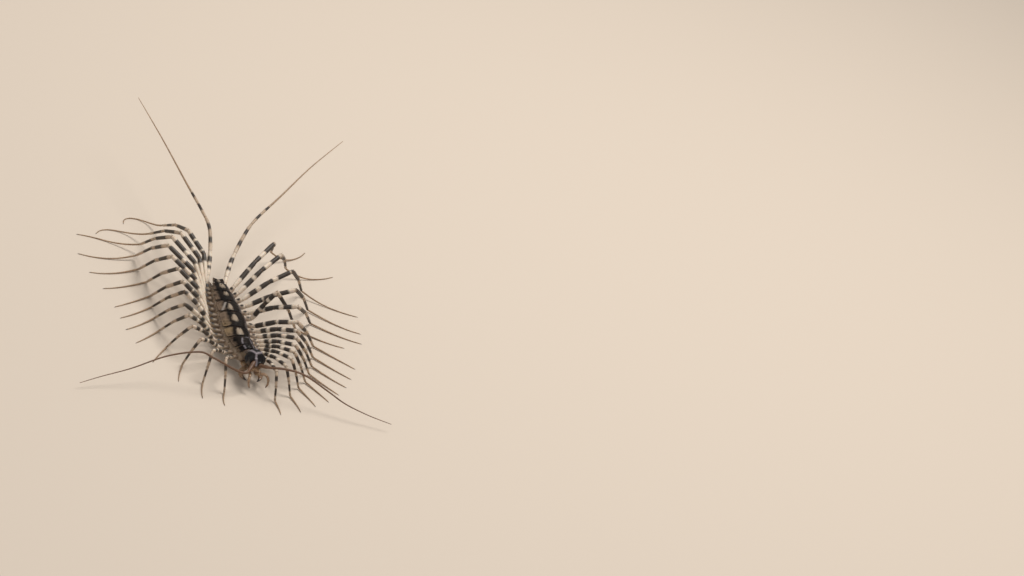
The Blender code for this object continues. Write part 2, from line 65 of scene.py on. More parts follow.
# %% The trunk's outline
STATION_Y = (-10.0, -8.0, -6.0, -3.0, 0.0, 4.0, 8.0, 10.5, 12.6)
HALF_WIDTH = (1.5, 1.85, 2.15, 2.3, 2.3, 2.1, 1.7, 1.25, 0.75)
BACK_HEIGHT = (5.0, 4.9, 4.85, 4.85, 4.85, 4.75, 4.5, 4.15, 3.7)
BELLY_HEIGHT = (2.0, 1.85, 1.75, 1.7, 1.7, 1.75, 1.95, 2.2, 2.5)
TRUNK_ENDS = (-9.5, -8.2, -5.9, -3.2, 1.3, 4.65, 7.8, 10.45)
LEG_ROOT_Y = (-8.86, -7.58, -6.48, -5.14, -3.84, -2.45, -1.0, 0.5, 2.15, 3.8, 5.4, 7.0, 8.52, 9.72)
ROOT_HEIGHT, SOCKET_LENGTH, GAP = 2.9, 0.25, 0.3
PLATE_OVERHANG, PLATE_LAP, PLATE_EDGE_HEIGHT = 0.35, 0.14, 4.0
PLATE_TILT, PLATE_NOTCH, SADDLE_HEIGHT = 0.22, 0.55, 0.16
NECK_BEND, NECK_START, NECK_END = 1.5, -4.5, -12.5
TAIL_BEND, TAIL_START, TAIL_LENGTH, TAIL_END = -0.4, 2.0, 8.0, 12.0
HEAD_X_FROM = -11.8
EYE_CENTRE, EYE_HALF_SIZES = (1.32, -11.45, 4.25), (0.42, 0.68, 0.5)


def smooth(t):
    """Eases from 0 to 1."""
    t = np.clip(t, 0.0, 1.0)
    return t * t * (3 - 2 * t)


def middle(y):
    """Sideways place of the body's middle line."""
    y = np.asarray(y, float)
    neck = NECK_BEND * smooth((NECK_START - y) / (NECK_START - NECK_END))
    return neck + TAIL_BEND * np.clip((y - TAIL_START) / TAIL_LENGTH, 0, 1)


def on_body(across, y, height):
    """Points given by their place across and along the bent body and their height over the floor."""
    across, y, height = np.broadcast_arrays(np.asarray(across, float), y, height)
    slope = (middle(y + 0.05) - middle(y - 0.05)) / 0.1
    size = np.sqrt(1 + slope ** 2)
    return np.stack([middle(y) + across / size, y - across * slope / size, height], -1)


def half_width(y):
    return np.interp(y, STATION_Y, HALF_WIDTH)


def back_height(y):
    return np.interp(y, STATION_Y, BACK_HEIGHT)


def belly_height(y):
    return np.interp(y, STATION_Y, BELLY_HEIGHT)


def flank(y):
    """Half width of the body under the edge of its plates."""
    return half_width(y) - PLATE_OVERHANG


# %% From the animal's frame to the model's
eye_boxes = [np.array(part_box("eye_" + SIDE_NAME[side])) for side in SIDES]
eyes_middle = sum(box.mean(0) for box in eye_boxes) / 2 * 1000
SHIFT = eyes_middle - np.array([float(middle(HEAD_X_FROM)), EYE_CENTRE[1], EYE_CENTRE[2]])
SHIFT[2] = 0.0


def place(points):
    """Millimetres in the animal's frame to metres in the model's."""
    return (np.asarray(points, float) + SHIFT) * 0.001


print("shift in millimetres", SHIFT.round(3))

# %% [markdown]
# ## The camera
# The photo looks down on the animal from its front right at about 31 degrees, with the horizon turned by
# nearly 19 degrees. A long lens keeps the near legs from swelling. The camera is turned, and not shifted, so
# that one point inside the trunk falls where the photo has it: other views then keep the animal centred.

# %% Camera at the photo's viewing angle
CAMERA_AZIMUTH, CAMERA_HEIGHT, CAMERA_ROLL = (math.radians(a) for a in (-20.6, 30.6, 18.8))
LENS, SENSOR, PICTURE_WIDTH, PICTURE_HEIGHT = 85.0, 36.0, 1024, 576
MM_PER_PIXEL = 0.165
ANCHOR = (0.0, 0.0, 3.6)
ANCHOR_PIXEL = (232.2, 321.2)

focal = LENS / SENSOR * PICTURE_WIDTH
back = Vector((math.sin(CAMERA_AZIMUTH) * math.cos(CAMERA_HEIGHT),
               -math.cos(CAMERA_AZIMUTH) * math.cos(CAMERA_HEIGHT), math.sin(CAMERA_HEIGHT)))
level_right = Vector((math.cos(CAMERA_AZIMUTH), math.sin(CAMERA_AZIMUTH), 0))
level_up = back.cross(level_right)
right = level_right * math.cos(CAMERA_ROLL) + level_up * math.sin(CAMERA_ROLL)
axes = Matrix((right, back.cross(right), back)).transposed()
sight = Vector(((ANCHOR_PIXEL[0] - PICTURE_WIDTH / 2) / focal,
                (PICTURE_HEIGHT / 2 - ANCHOR_PIXEL[1]) / focal, -1))
aim = Vector((0, 0, -1)).rotation_difference(sight).to_matrix()
camera_data = bpy.data.cameras.new("camera")
camera_data.lens = LENS
camera_data.sensor_width = SENSOR
camera_data.clip_start = 0.005
camera = bpy.data.objects.new("camera", camera_data)
bpy.context.scene.collection.objects.link(camera)
bpy.context.scene.camera = camera
camera.matrix_world = (axes @ aim.transposed()).to_4x4()
camera.location = Vector(place(ANCHOR)) + back * (focal * MM_PER_PIXEL * 0.001)
print("camera at", [round(c, 4) for c in camera.location])

# %% [markdown]
# ## Light and floor
# Soft daylight fills the photo: shadows under the legs are pale and the glints on the dark plates are broad.
# A large lamp high on the animal's left, a weaker one at its front right and a pale surrounding give that.
# The floor is a plain pale sheet in a warm tone.

# %% Soft studio light on a plain floor
def area_light(name, stand, size, power, colour):
    """A square lamp that looks at the animal."""
    data = bpy.data.lights.new(name, "AREA")
    data.size = size
    data.energy = power
    data.color = colour
    lamp = bpy.data.objects.new(name, data)
    bpy.context.scene.collection.objects.link(lamp)
    lamp.location = stand
    lamp.rotation_euler = Vector(stand).to_track_quat("Z", "Y").to_euler()


area_light("window", (0.16, 0.08, 0.46), 0.22, 1.9, (1.0, 0.97, 0.93))
area_light("fill", (-0.35, -0.3, 0.3), 0.4, 0.45, (0.97, 0.98, 1.0))
world = bpy.data.worlds.new("pale_room")
bpy.context.scene.world = world
world.use_nodes = True
world.node_tree.nodes["Background"].inputs["Color"].default_value = (0.98, 0.97, 0.95, 1)
world.node_tree.nodes["Background"].inputs["Strength"].default_value = 0.46
bpy.context.scene.view_settings.view_transform = "Standard"

floor_mesh = bpy.data.meshes.new("floor")
floor_mesh.from_pydata([(-3, -3, 0), (3, -3, 0), (3, 3, 0), (-3, 3, 0)], [], [(0, 1, 2, 3)])
floor = bpy.data.objects.new("floor", floor_mesh)
bpy.context.scene.collection.objects.link(floor)
floor_finish = bpy.data.materials.new("plain_pale_floor")
floor_finish.use_nodes = True
floor_finish.node_tree.nodes["Principled BSDF"].inputs["Base Color"].default_value = (0.62, 0.53, 0.44, 1)
floor_finish.node_tree.nodes["Principled BSDF"].inputs["Roughness"].default_value = 0.75
floor_mesh.materials.append(floor_finish)
print("lamps", len(bpy.data.lights))

# %% [markdown]
# ## Shared finishes
# Horn has no single colour: it is mottled and finely pitted, and its markings have ragged edges. These
# effects serve many materials, so each is a node group with named inputs and outputs. They read the piece's
# Object coordinates, which are in metres, and turn their counts of spots and pits per millimetre to that.

# %% Small helpers for node trees
def set_or_link(tree, socket, value):
    """Links a socket's value from another node, or sets it."""
    if isinstance(value, bpy.types.NodeSocket):
        tree.links.new(value, socket)
    elif socket.type == "RGBA" and len(value) == 3:
        socket.default_value = (*value, 1)
    else:
        socket.default_value = value


def add_node(tree, kind, inputs=None, **settings):
    """Adds a node, makes its settings, then links or sets its inputs by name or number."""
    made = tree.nodes.new(kind)
    for key, value in settings.items():
        setattr(made, key, value)
    for key, value in (inputs or {}).items():
        set_or_link(tree, made.inputs[key], value)
    return made


def calculate(tree, operation, *values, clamp=False):
    """One step of arithmetic."""
    step = add_node(tree, "ShaderNodeMath", dict(enumerate(values)), operation=operation, use_clamp=clamp)
    return step.outputs[0]


def blend_colour(tree, share, first, second):
    """Mixes two colours by a share from 0 to 1."""
    return add_node(tree, "ShaderNodeMix", {0: share, 6: first, 7: second}, data_type="RGBA").outputs[2]


def new_group(name, kind, inputs, outputs):
    """A node group with named sockets; returns it with its inner input and output sockets."""
    tree = bpy.data.node_groups.new(name, kind)
    for label, socket_kind, value in inputs:
        socket = tree.interface.new_socket(name=label, in_out="INPUT", socket_type="NodeSocket" + socket_kind)
        if value is not None:
            socket.default_value = (*value, 1) if socket_kind == "Color" else value
    for label, socket_kind in outputs:
        tree.interface.new_socket(name=label, in_out="OUTPUT", socket_type="NodeSocket" + socket_kind)
    return tree, tree.nodes.new("NodeGroupInput").outputs, tree.nodes.new("NodeGroupOutput").inputs


# %% Mottled horn: a colour that drifts, with fine pits
mottle, given, result = new_group(
    "mottled_horn", "ShaderNodeTree",
    [("Colour", "Color", (0.5, 0.5, 0.5)), ("Tint", "Color", (0.4, 0.3, 0.2)), ("Drift", "Float", 0.5),
     ("Spots per mm", "Float", 1.5), ("Pits per mm", "Float", 12.0)],
    [("Colour", "Color"), ("Roughness shift", "Float"), ("Pits", "Float")])
where = add_node(mottle, "ShaderNodeTexCoord").outputs["Object"]
spot_scale = calculate(mottle, "MULTIPLY", given["Spots per mm"], 1000.0)
clouds = add_node(mottle, "ShaderNodeTexNoise", {"Vector": where, "Scale": spot_scale, "Detail": 4.0})
drift = clouds.outputs[0]
drift_mask = calculate(mottle, "MULTIPLY_ADD", drift, 2.4, -0.8, clamp=True)
drift_share = calculate(mottle, "MULTIPLY", drift_mask, given["Drift"])
pit_scale = calculate(mottle, "MULTIPLY", given["Pits per mm"], 1000.0)
pits = add_node(mottle, "ShaderNodeTexVoronoi", {"Vector": where, "Scale": pit_scale}).outputs["Distance"]
mottle.links.new(blend_colour(mottle, drift_share, given["Colour"], given["Tint"]), result["Colour"])
mottle.links.new(calculate(mottle, "MULTIPLY", drift_mask, 0.15), result["Roughness shift"])
mottle.links.new(calculate(mottle, "MULTIPLY", pits, 1.6, clamp=True), result["Pits"])

# %% A marking with a ragged edge
marking, given, result = new_group(
    "ragged_marking", "ShaderNodeTree",
    [("Under", "Color", (0.8, 0.7, 0.6)), ("Marking", "Color", (0.03, 0.03, 0.04)),
     ("Depth mm", "Float", 0.0), ("Softness mm", "Float", 0.06), ("Raggedness mm", "Float", 0.12),
     ("Rags per mm", "Float", 3.0), ("Strength", "Float", 1.0)],
    [("Colour", "Color"), ("Mask", "Float")])
where = add_node(marking, "ShaderNodeTexCoord").outputs["Object"]
rag_scale = calculate(marking, "MULTIPLY", given["Rags per mm"], 1000.0)
rags = add_node(marking, "ShaderNodeTexNoise", {"Vector": where, "Scale": rag_scale, "Detail": 3.0})
centred = calculate(marking, "SUBTRACT", rags.outputs[0], 0.5)
moved = calculate(marking, "MULTIPLY_ADD", centred, given["Raggedness mm"], given["Depth mm"])
steep = calculate(marking, "DIVIDE", moved, given["Softness mm"])
inside = calculate(marking, "MULTIPLY_ADD", steep, 0.5, 0.5, clamp=True)
share = calculate(marking, "MULTIPLY", inside, given["Strength"])
marking.links.new(blend_colour(marking, share, given["Under"], given["Marking"]), result["Colour"])
marking.links.new(share, result["Mask"])


# %% A finish that strings these groups together
class Finish:
    """A horn material: a mottled ground, markings laid over it one by one, then gloss and fine relief."""

    def __init__(self, name, colour, tint, drift=0.5, spots=1.5, pits=12.0):
        self.material = bpy.data.materials.new(name)
        self.material.use_nodes = True
        self.tree = self.material.node_tree
        self.shader = self.tree.nodes["Principled BSDF"]
        self.ground = add_node(self.tree, "ShaderNodeGroup", node_tree=mottle)
        for key, value in (("Colour", colour), ("Tint", tint), ("Drift", drift), ("Spots per mm", spots),
                           ("Pits per mm", pits)):
            set_or_link(self.tree, self.ground.inputs[key], value)
        self.colour = self.ground.outputs["Colour"]

    def mark(self, attribute, colour, softness=0.06, raggedness=0.12, rags=3.0, strength=1.0):
        """Lays a marking over the colour so far; the attribute says how far inside it a point is."""
        depth = add_node(self.tree, "ShaderNodeAttribute", attribute_name=attribute).outputs["Fac"]
        step = add_node(self.tree, "ShaderNodeGroup", node_tree=marking)
        for key, value in (("Under", self.colour), ("Marking", colour), ("Depth mm", depth),
                           ("Softness mm", softness), ("Raggedness mm", raggedness), ("Rags per mm", rags),
                           ("Strength", strength)):
            set_or_link(self.tree, step.inputs[key], value)
        self.colour = step.outputs["Colour"]
        return self

    def gloss(self, roughness, relief_mm=0.006, coat=0.0, translucence=0.0, specular=0.5):
        """Connects the colour, the roughness and the pits, and sets the plain values."""
        rough = calculate(self.tree, "ADD", self.ground.outputs["Roughness shift"], roughness)
        self.tree.links.new(rough, self.shader.inputs["Roughness"])
        self.tree.links.new(self.colour, self.shader.inputs["Base Color"])
        self.shader.inputs["Coat Weight"].default_value = coat
        self.shader.inputs["Coat Roughness"].default_value = 0.15
        self.shader.inputs["Specular IOR Level"].default_value = specular
        self.shader.inputs["Subsurface Weight"].default_value = translucence
        self.shader.inputs["Subsurface Scale"].default_value = 0.0005
        self.shader.inputs["Subsurface Radius"].default_value = (1.0, 0.7, 0.45)
        bump = add_node(self.tree, "ShaderNodeBump", {"Height": self.ground.outputs["Pits"], "Strength": 0.5,
                                                      "Distance": relief_mm * 0.001})
        self.tree.links.new(bump.outputs["Normal"], self.shader.inputs["Normal"])
        return self.material


print("shader groups", [group.name for group in bpy.data.node_groups])

# %% [markdown]
# ## Building skins from rows of points
# Most parts are a row of rings: the trunk, the head, each leg. A small tool turns a grid of points into a
# closed mesh with its own UV map, whose U runs along the part and V round it, and stores named values on the
# points. A value says, for one marking, how many millimetres inside its edge a point lies. The finish reads
# it, so each marking follows the part however it bends, and its edge stays sharp between points.

# %% Grids of points to closed pieces
def finish_mesh(name, points, faces, uvs, values):
    """Makes a mesh with a UV for each face corner and the named values on its points, facing out."""
    mesh = bpy.data.meshes.new(name)
    mesh.from_pydata(place(points).tolist(), [], faces)
    layer = mesh.uv_layers.new(name="skin")
    layer.data.foreach_set("uv", np.asarray(uvs, float).ravel())
    for key, value in values.items():
        mesh.attributes.new(key, "FLOAT", "POINT").data.foreach_set("value", np.asarray(value, float))
    bm = bmesh.new()
    bm.from_mesh(mesh)
    bmesh.ops.recalc_face_normals(bm, faces=bm.faces)
    bm.to_mesh(mesh)
    bm.free()
    mesh.shade_smooth()
    return mesh


def rings_mesh(name, rings, values=None):
    """Skins rows of rings, all with the same count of points, and closes both ends with a fan."""
    rings = np.asarray(rings, float)
    rows, columns = rings.shape[:2]
    points = np.vstack([rings.reshape(-1, 3), rings[0].mean(0), rings[-1].mean(0)])
    faces, uvs = [], []
    for i in range(rows - 1):
        for j in range(columns):
            k = (j + 1) % columns
            faces.append((i * columns + j, i * columns + k, (i + 1) * columns + k, (i + 1) * columns + j))
            u, u2, v, v2 = i / (rows - 1), (i + 1) / (rows - 1), j / columns, (j + 1) / columns
            uvs += [(u, v), (u, v2), (u2, v2), (u2, v)]
    last = (rows - 1) * columns
    for j in range(columns):
        k = (j + 1) % columns
        faces.append((rows * columns, k, j))
        faces.append((rows * columns + 1, last + j, last + k))
        uvs += [(0, j / columns)] * 3 + [(1, j / columns)] * 3
    spread = {}
    for key, value in (values or {}).items():
        value = np.broadcast_to(np.asarray(value, float), (rows, columns))
        spread[key] = np.concatenate([value.ravel(), [value[0].mean(), value[-1].mean()]])
    return finish_mesh(name, points, faces, uvs, spread)


def shell_mesh(name, top, bottom, values=None):
    """Joins an upper and a lower grid of points along their four borders to a closed shell."""
    rows, columns = top.shape[:2]
    size = rows * columns
    points = np.vstack([top.reshape(-1, 3), bottom.reshape(-1, 3)])
    faces, uvs = [], []

    def face(*corners):
        faces.append(corners)
        for corner in corners:
            i, j = divmod(corner % size, columns)
            uvs.append((i / (rows - 1), j / (columns - 1)))

    for i in range(rows - 1):
        for j in range(columns - 1):
            a = i * columns + j
            face(a, a + 1, a + columns + 1, a + columns)
            face(size + a + columns, size + a + columns + 1, size + a + 1, size + a)
    border = list(range(columns - 1))
    border += [i * columns + columns - 1 for i in range(rows - 1)]
    border += [(rows - 1) * columns + j for j in range(columns - 1, 0, -1)]
    border += [i * columns for i in range(rows - 1, 0, -1)]
    for a, b in zip(border, border[1:] + border[:1]):
        face(b, a, size + a, size + b)
    spread = {}
    for key, value in (values or {}).items():
        spread[key] = np.tile(np.broadcast_to(value, (rows, columns)).ravel(), 2)
    return finish_mesh(name, points, faces, uvs, spread)


def join_meshes(name, *meshes):
    """Several closed meshes as one, each with its own material."""
    bm = bmesh.new()
    for k, mesh in enumerate(meshes):
        mesh.polygons.foreach_set("material_index", [k] * len(mesh.polygons))
        bm.from_mesh(mesh)
    joined = bpy.data.meshes.new(name)
    bm.to_mesh(joined)
    bm.free()
    for mesh in meshes:
        joined.materials.append(mesh.materials[0])
    joined.shade_smooth()
    return joined


triangles = []


def add_piece(name, mesh, material, slot, *nodes):
    """Puts a finished mesh in the scene, over the solids that it stands for."""
    piece = bpy.data.objects.new(name, mesh)
    bpy.context.scene.collection.objects.link(piece)
    if material:
        mesh.materials.clear()
        mesh.materials.append(material)
    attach(piece, "root")
    if nodes:
        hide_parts(*nodes)
    mesh.calc_loop_triangles()
    triangles.append(len(mesh.loop_triangles))


# %% Lines and limbs
def run_of(line):
    """How far along a line each of its points is."""
    return np.append(0, np.cumsum(np.linalg.norm(np.diff(line, axis=0), axis=1)))


def evenly(line, spacing):
    """The same line with its points evenly spread."""
    line = np.asarray(line, float)
    run = run_of(line)
    wanted = np.linspace(0, run[-1], max(3, round(run[-1] / spacing) + 1))
    return np.stack([np.interp(wanted, run, line[:, axis]) for axis in range(3)], 1)


def through(points, spacing):
    """A smooth line through a few points."""
    knots = np.asarray(points, float)
    knots = np.vstack([2 * knots[0] - knots[1], knots, 2 * knots[-1] - knots[-2]])
    t = np.linspace(0, 1, 16, endpoint=False)[:, None]
    line = [0.5 * (2 * b + (c - a) * t + (2 * a - 5 * b + 4 * c - d) * t ** 2
                   + (3 * b - a - 3 * c + d) * t ** 3)
            for a, b, c, d in zip(knots, knots[1:], knots[2:], knots[3:])]
    return evenly(np.vstack(line + [knots[-2][None]]), spacing)


def frames_along(line):
    """At each point of a line, the way ahead, the way sideways and the way up, untwisted."""
    ahead = np.gradient(line, axis=0)
    ahead /= np.linalg.norm(ahead, axis=1)[:, None]
    side = np.cross(ahead, (0.0, 0.0, 1.0))
    for k in range(len(side)):
        if np.linalg.norm(side[k]) < 0.25:
            side[k] = side[k - 1] if k else (1.0, 0.0, 0.0)
        side[k] -= ahead[k] * (side[k] @ ahead[k])
        side[k] /= np.linalg.norm(side[k])
    return ahead, side, np.cross(side, ahead)


def limb_rings(line, radii, columns=14, ridges=0, ridge_depth=0.0):
    """Round sections along a line, with any count of lengthwise ridges."""
    ahead, side, above = frames_along(line)
    turn = np.linspace(0, 2 * math.pi, columns, endpoint=False)
    radii = np.asarray(radii, float)[:, None] * (1 + ridge_depth * np.cos(ridges * turn + math.pi / 2))[None]
    flat = np.cos(turn)[None, :, None] * side[:, None] + np.sin(turn)[None, :, None] * above[:, None]
    return line[:, None] + radii[..., None] * flat


def wrinkle(points, scale, depth, seed):
    """A soft, irregular height at each point."""
    flat = np.asarray(points).reshape(-1, 3)
    heights = [noise.noise(Vector(p) * scale + Vector((seed, 0, 0))) for p in flat]
    return depth * np.array(heights).reshape(np.shape(points)[:-1])


# %% [markdown]
# ## Growing things with Geometry Nodes
# Bristles, lenses and the rings of a feeler repeat a hundred times or more along a path or over a surface.
# Placing them by hand or in loops of mesh code would be slow to read and to change. Three small trees do it:
# one stands a cone on each point, one sets a lens on each point, and one draws a ringed thread along a line.
# Each has named inputs for its sizes, and its result is turned to a plain mesh.

# %% Running a tree over a mesh
def grow(mesh, tree, values):
    """Runs a tree over a mesh, with its inputs given by name, and returns the plain mesh that it makes."""
    carrier = bpy.data.objects.new("carrier", mesh)
    bpy.context.scene.collection.objects.link(carrier)
    step = carrier.modifiers.new("grow", "NODES")
    step.node_group = tree
    for item in tree.interface.items_tree:
        if item.in_out == "INPUT" and item.name in values:
            step[item.identifier] = values[item.name]
    depsgraph = bpy.context.evaluated_depsgraph_get()
    made = bpy.data.meshes.new_from_object(carrier.evaluated_get(depsgraph))
    made.materials.clear()
    made.materials.append(values["Material"])
    made.polygons.foreach_set("material_index", [0] * len(made.polygons))
    carrier.modifiers.remove(step)
    bpy.data.objects.remove(carrier, do_unlink=True)
    return made


def points_mesh(points, edges=(), **values):
    """Loose points, or a line of them, with named values."""
    mesh = bpy.data.meshes.new("points")
    mesh.from_pydata(place(points).tolist(), list(edges), [])
    for key, value in values.items():
        value = np.asarray(value, float)
        kind, field = ("FLOAT_VECTOR", "vector") if value.ndim == 2 else ("FLOAT", "value")
        mesh.attributes.new(key, kind, "POINT").data.foreach_set(field, value.ravel())
    return mesh


# %% The three trees
def named(tree, name, data_type="FLOAT"):
    """A named value of the geometry that a tree works on."""
    return add_node(tree, "GeometryNodeInputNamedAttribute", {"Name": name}, data_type=data_type).outputs[0]


def close_tree(tree, geometry, material, result):
    """Every tree ends alike: instances made real, smooth, with the material set."""
    real = add_node(tree, "GeometryNodeRealizeInstances", {"Geometry": geometry}).outputs[0]
    even = add_node(tree, "GeometryNodeSetShadeSmooth", {"Geometry": real}).outputs[0]
    dressed = add_node(tree, "GeometryNodeSetMaterial", {"Geometry": even, "Material": material}).outputs[0]
    tree.links.new(dressed, result["Geometry"])


thread_tree, given, result = new_group(
    "ringed_thread", "GeometryNodeTree",
    [("Geometry", "Geometry", None), ("Ring length", "Float", 0.0003), ("Ring depth", "Float", 0.15),
     ("Sides", "Int", 8), ("Material", "Material", None)], [("Geometry", "Geometry")])
step_length = calculate(thread_tree, "MULTIPLY", given["Ring length"], 0.25)
curve = add_node(thread_tree, "GeometryNodeMeshToCurve", {"Mesh": given["Geometry"]}).outputs[0]
curve = add_node(thread_tree, "GeometryNodeResampleCurve", {"Curve": curve, "Length": step_length},
                 mode="LENGTH").outputs[0]
run = add_node(thread_tree, "GeometryNodeSplineParameter").outputs["Length"]
phase = calculate(thread_tree, "FRACT", calculate(thread_tree, "DIVIDE", run, given["Ring length"]))
to_and_fro = calculate(thread_tree, "PINGPONG", phase, 0.5)
from_joint = calculate(thread_tree, "MULTIPLY", to_and_fro, 4.0, clamp=True)
at_joint = calculate(thread_tree, "SUBTRACT", 1.0, from_joint)
groove = calculate(thread_tree, "MULTIPLY", at_joint, given["Ring depth"])
joint_depth = calculate(thread_tree, "SUBTRACT", 0.5, from_joint)
curve = add_node(thread_tree, "GeometryNodeStoreNamedAttribute",
                 {"Geometry": curve, "Name": "joint", "Value": joint_depth},
                 data_type="FLOAT", domain="POINT").outputs[0]
thickness = calculate(thread_tree, "MULTIPLY", named(thread_tree, "thickness"),
                      calculate(thread_tree, "SUBTRACT", 1.0, groove))
profile = add_node(thread_tree, "GeometryNodeCurvePrimitiveCircle",
                   {"Resolution": given["Sides"], "Radius": 1.0})
tube = add_node(thread_tree, "GeometryNodeCurveToMesh",
                {"Curve": curve, "Profile Curve": profile.outputs[0], "Scale": thickness, "Fill Caps": True})
close_tree(thread_tree, tube.outputs[0], given["Material"], result)

bristle_tree, given, result = new_group(
    "standing_bristles", "GeometryNodeTree",
    [("Geometry", "Geometry", None), ("Thickness", "Float", 0.00003), ("Spread", "Float", 0.2),
     ("Seed", "Int", 1), ("Material", "Material", None)], [("Geometry", "Geometry")])
cone = add_node(bristle_tree, "GeometryNodeMeshCone",
                {"Vertices": 4, "Side Segments": 2, "Radius Top": 0.05, "Radius Bottom": 1.0, "Depth": 1.0})
position = add_node(bristle_tree, "GeometryNodeInputPosition").outputs[0]
cone = add_node(bristle_tree, "GeometryNodeStoreNamedAttribute",
                {"Geometry": cone.outputs[0], "Name": "on_tuft", "Value": position},
                data_type="FLOAT_VECTOR", domain="POINT").outputs[0]
stray = add_node(bristle_tree, "FunctionNodeRandomValue", {"Seed": given["Seed"]}, data_type="FLOAT_VECTOR")
stray.inputs[0].default_value = (-1, -1, -1)
stray.inputs[1].default_value = (1, 1, 1)
strayed = add_node(bristle_tree, "ShaderNodeVectorMath", {0: stray.outputs[0], 3: given["Spread"]},
                   operation="SCALE")
lean = add_node(bristle_tree, "ShaderNodeVectorMath",
                {0: named(bristle_tree, "aim", "FLOAT_VECTOR"), 1: strayed.outputs[0]}, operation="ADD")
turned = add_node(bristle_tree, "FunctionNodeAlignRotationToVector", {"Vector": lean.outputs[0]}, axis="Z")
width = calculate(bristle_tree, "MULTIPLY", given["Thickness"], named(bristle_tree, "stoutness"))
scale = add_node(bristle_tree, "ShaderNodeCombineXYZ", {0: width, 1: width, 2: named(bristle_tree, "reach")})
stand = add_node(bristle_tree, "GeometryNodeInstanceOnPoints",
                 {"Points": given["Geometry"], "Instance": cone, "Rotation": turned.outputs[0],
                  "Scale": scale.outputs[0]})
real = add_node(bristle_tree, "GeometryNodeRealizeInstances", {"Geometry": stand.outputs[0]}).outputs[0]
PATCH_HALF_WIDTH = 0.0015
spot = add_node(bristle_tree, "ShaderNodeVectorMath",
                {0: named(bristle_tree, "on_tuft", "FLOAT_VECTOR"), 3: PATCH_HALF_WIDTH}, operation="SCALE")
patch = add_node(bristle_tree, "ShaderNodeVectorMath",
                 {0: named(bristle_tree, "patch", "FLOAT_VECTOR"), 1: spot.outputs[0]}, operation="ADD")
mapped = add_node(bristle_tree, "GeometryNodeStoreNamedAttribute",
                  {"Geometry": real, "Name": "OFBake", "Value": patch.outputs[0]},
                  data_type="FLOAT2", domain="CORNER")
close_tree(bristle_tree, mapped.outputs[0], given["Material"], result)

lens_tree, given, result = new_group(
    "lens_field", "GeometryNodeTree",
    [("Geometry", "Geometry", None), ("Lens radius", "Float", 0.00005), ("Material", "Material", None)],
    [("Geometry", "Geometry")])
lens = add_node(lens_tree, "GeometryNodeMeshUVSphere",
                {"Segments": 8, "Rings": 5, "Radius": given["Lens radius"]})
level = add_node(lens_tree, "FunctionNodeAlignRotationToVector",
                 {"Vector": named(lens_tree, "aim", "FLOAT_VECTOR")}, axis="Z")
field = add_node(lens_tree, "GeometryNodeInstanceOnPoints",
                 {"Points": given["Geometry"], "Instance": lens.outputs[0], "Rotation": level.outputs[0],
                  "Scale": (1.0, 1.0, 0.5)})
close_tree(lens_tree, field.outputs[0], given["Material"], result)
print("geometry trees", [tree.name for tree in bpy.data.node_groups if tree.bl_idname == "GeometryNodeTree"])


# %% A collector of bristles
class Bristles:
    """Gathers the roots of one coat of bristles and grows them all at once."""

    def __init__(self):
        self.rows = {key: [] for key in ("root", "aim", "reach", "stoutness", "patch")}

    def stand(self, root, aim, reach, stoutness=1.0, patch=(0.5, 0.5)):
        """One bristle: its root, direction, length and thickness, and its place on the skin's unwrap."""
        # Near the floor a bristle leans up, so that it doesn't reach into the floor.
        aim = (aim[0], aim[1], max(aim[2], 0.25)) if root[2] < 1.2 * reach else aim
        for key, value in (("root", root), ("aim", aim), ("reach", reach * 0.001), ("stoutness", stoutness),
                           ("patch", (*patch, 0.0))):
            self.rows[key].append(value)

    def grow(self, name, material, slot, thickness=0.03, spread=0.15, seed=1):
        """Makes the piece."""
        rows = {key: np.array(value, float) for key, value in self.rows.items()}
        carrier = points_mesh(rows.pop("root"), **rows)
        mesh = grow(carrier, bristle_tree, {"Thickness": thickness * 0.001, "Spread": spread, "Seed": seed,
                                            "Material": material})
        add_piece(name, mesh, None, slot)
        print(name, len(self.rows["root"]), "bristles")


# %% [markdown]
# ## The soft trunk
# Between its plates and legs the animal is soft skin over a row of eighteen segments: a collar of folded
# skin round each leg's root, a shield under the belly at each segment, and a crease between one segment and
# the next. One grid of rings makes it whole, so no seam shows where the solids were parted. The heights of
# collars and creases are added to the rings along their outward direction.

# %% Skin finish
skin_finish = (
    Finish("skin", (0.135, 0.084, 0.056), (0.035, 0.021, 0.015), drift=0.9, spots=1.2, pits=9)
    .mark("crease", (0.022, 0.016, 0.013), softness=0.1, raggedness=0.1, strength=0.85)
    .mark("collar", (0.34, 0.255, 0.185), softness=0.12, raggedness=0.15, rags=4, strength=0.85)
    .mark("stripe", (0.20, 0.145, 0.09), softness=0.2, raggedness=0.6, rags=1.2, strength=0.7)
    .gloss(0.45, relief_mm=0.012, translucence=0.15, specular=0.35))

# %% Trunk skin
SKIN_COLUMNS, SKIN_STEP = 96, 0.1
COLLAR_SPREAD = 0.28
NECK_MIDDLE, NECK_HALF_HEIGHT, NECK_HALF_WIDTH = 3.55, 0.85, 0.9


def girth(number):
    """How thick a leg is beside the full-sized ones; the first seven are slighter."""
    return float(np.interp(number, (1, 4, 8), (0.74, 0.82, 1.0)))


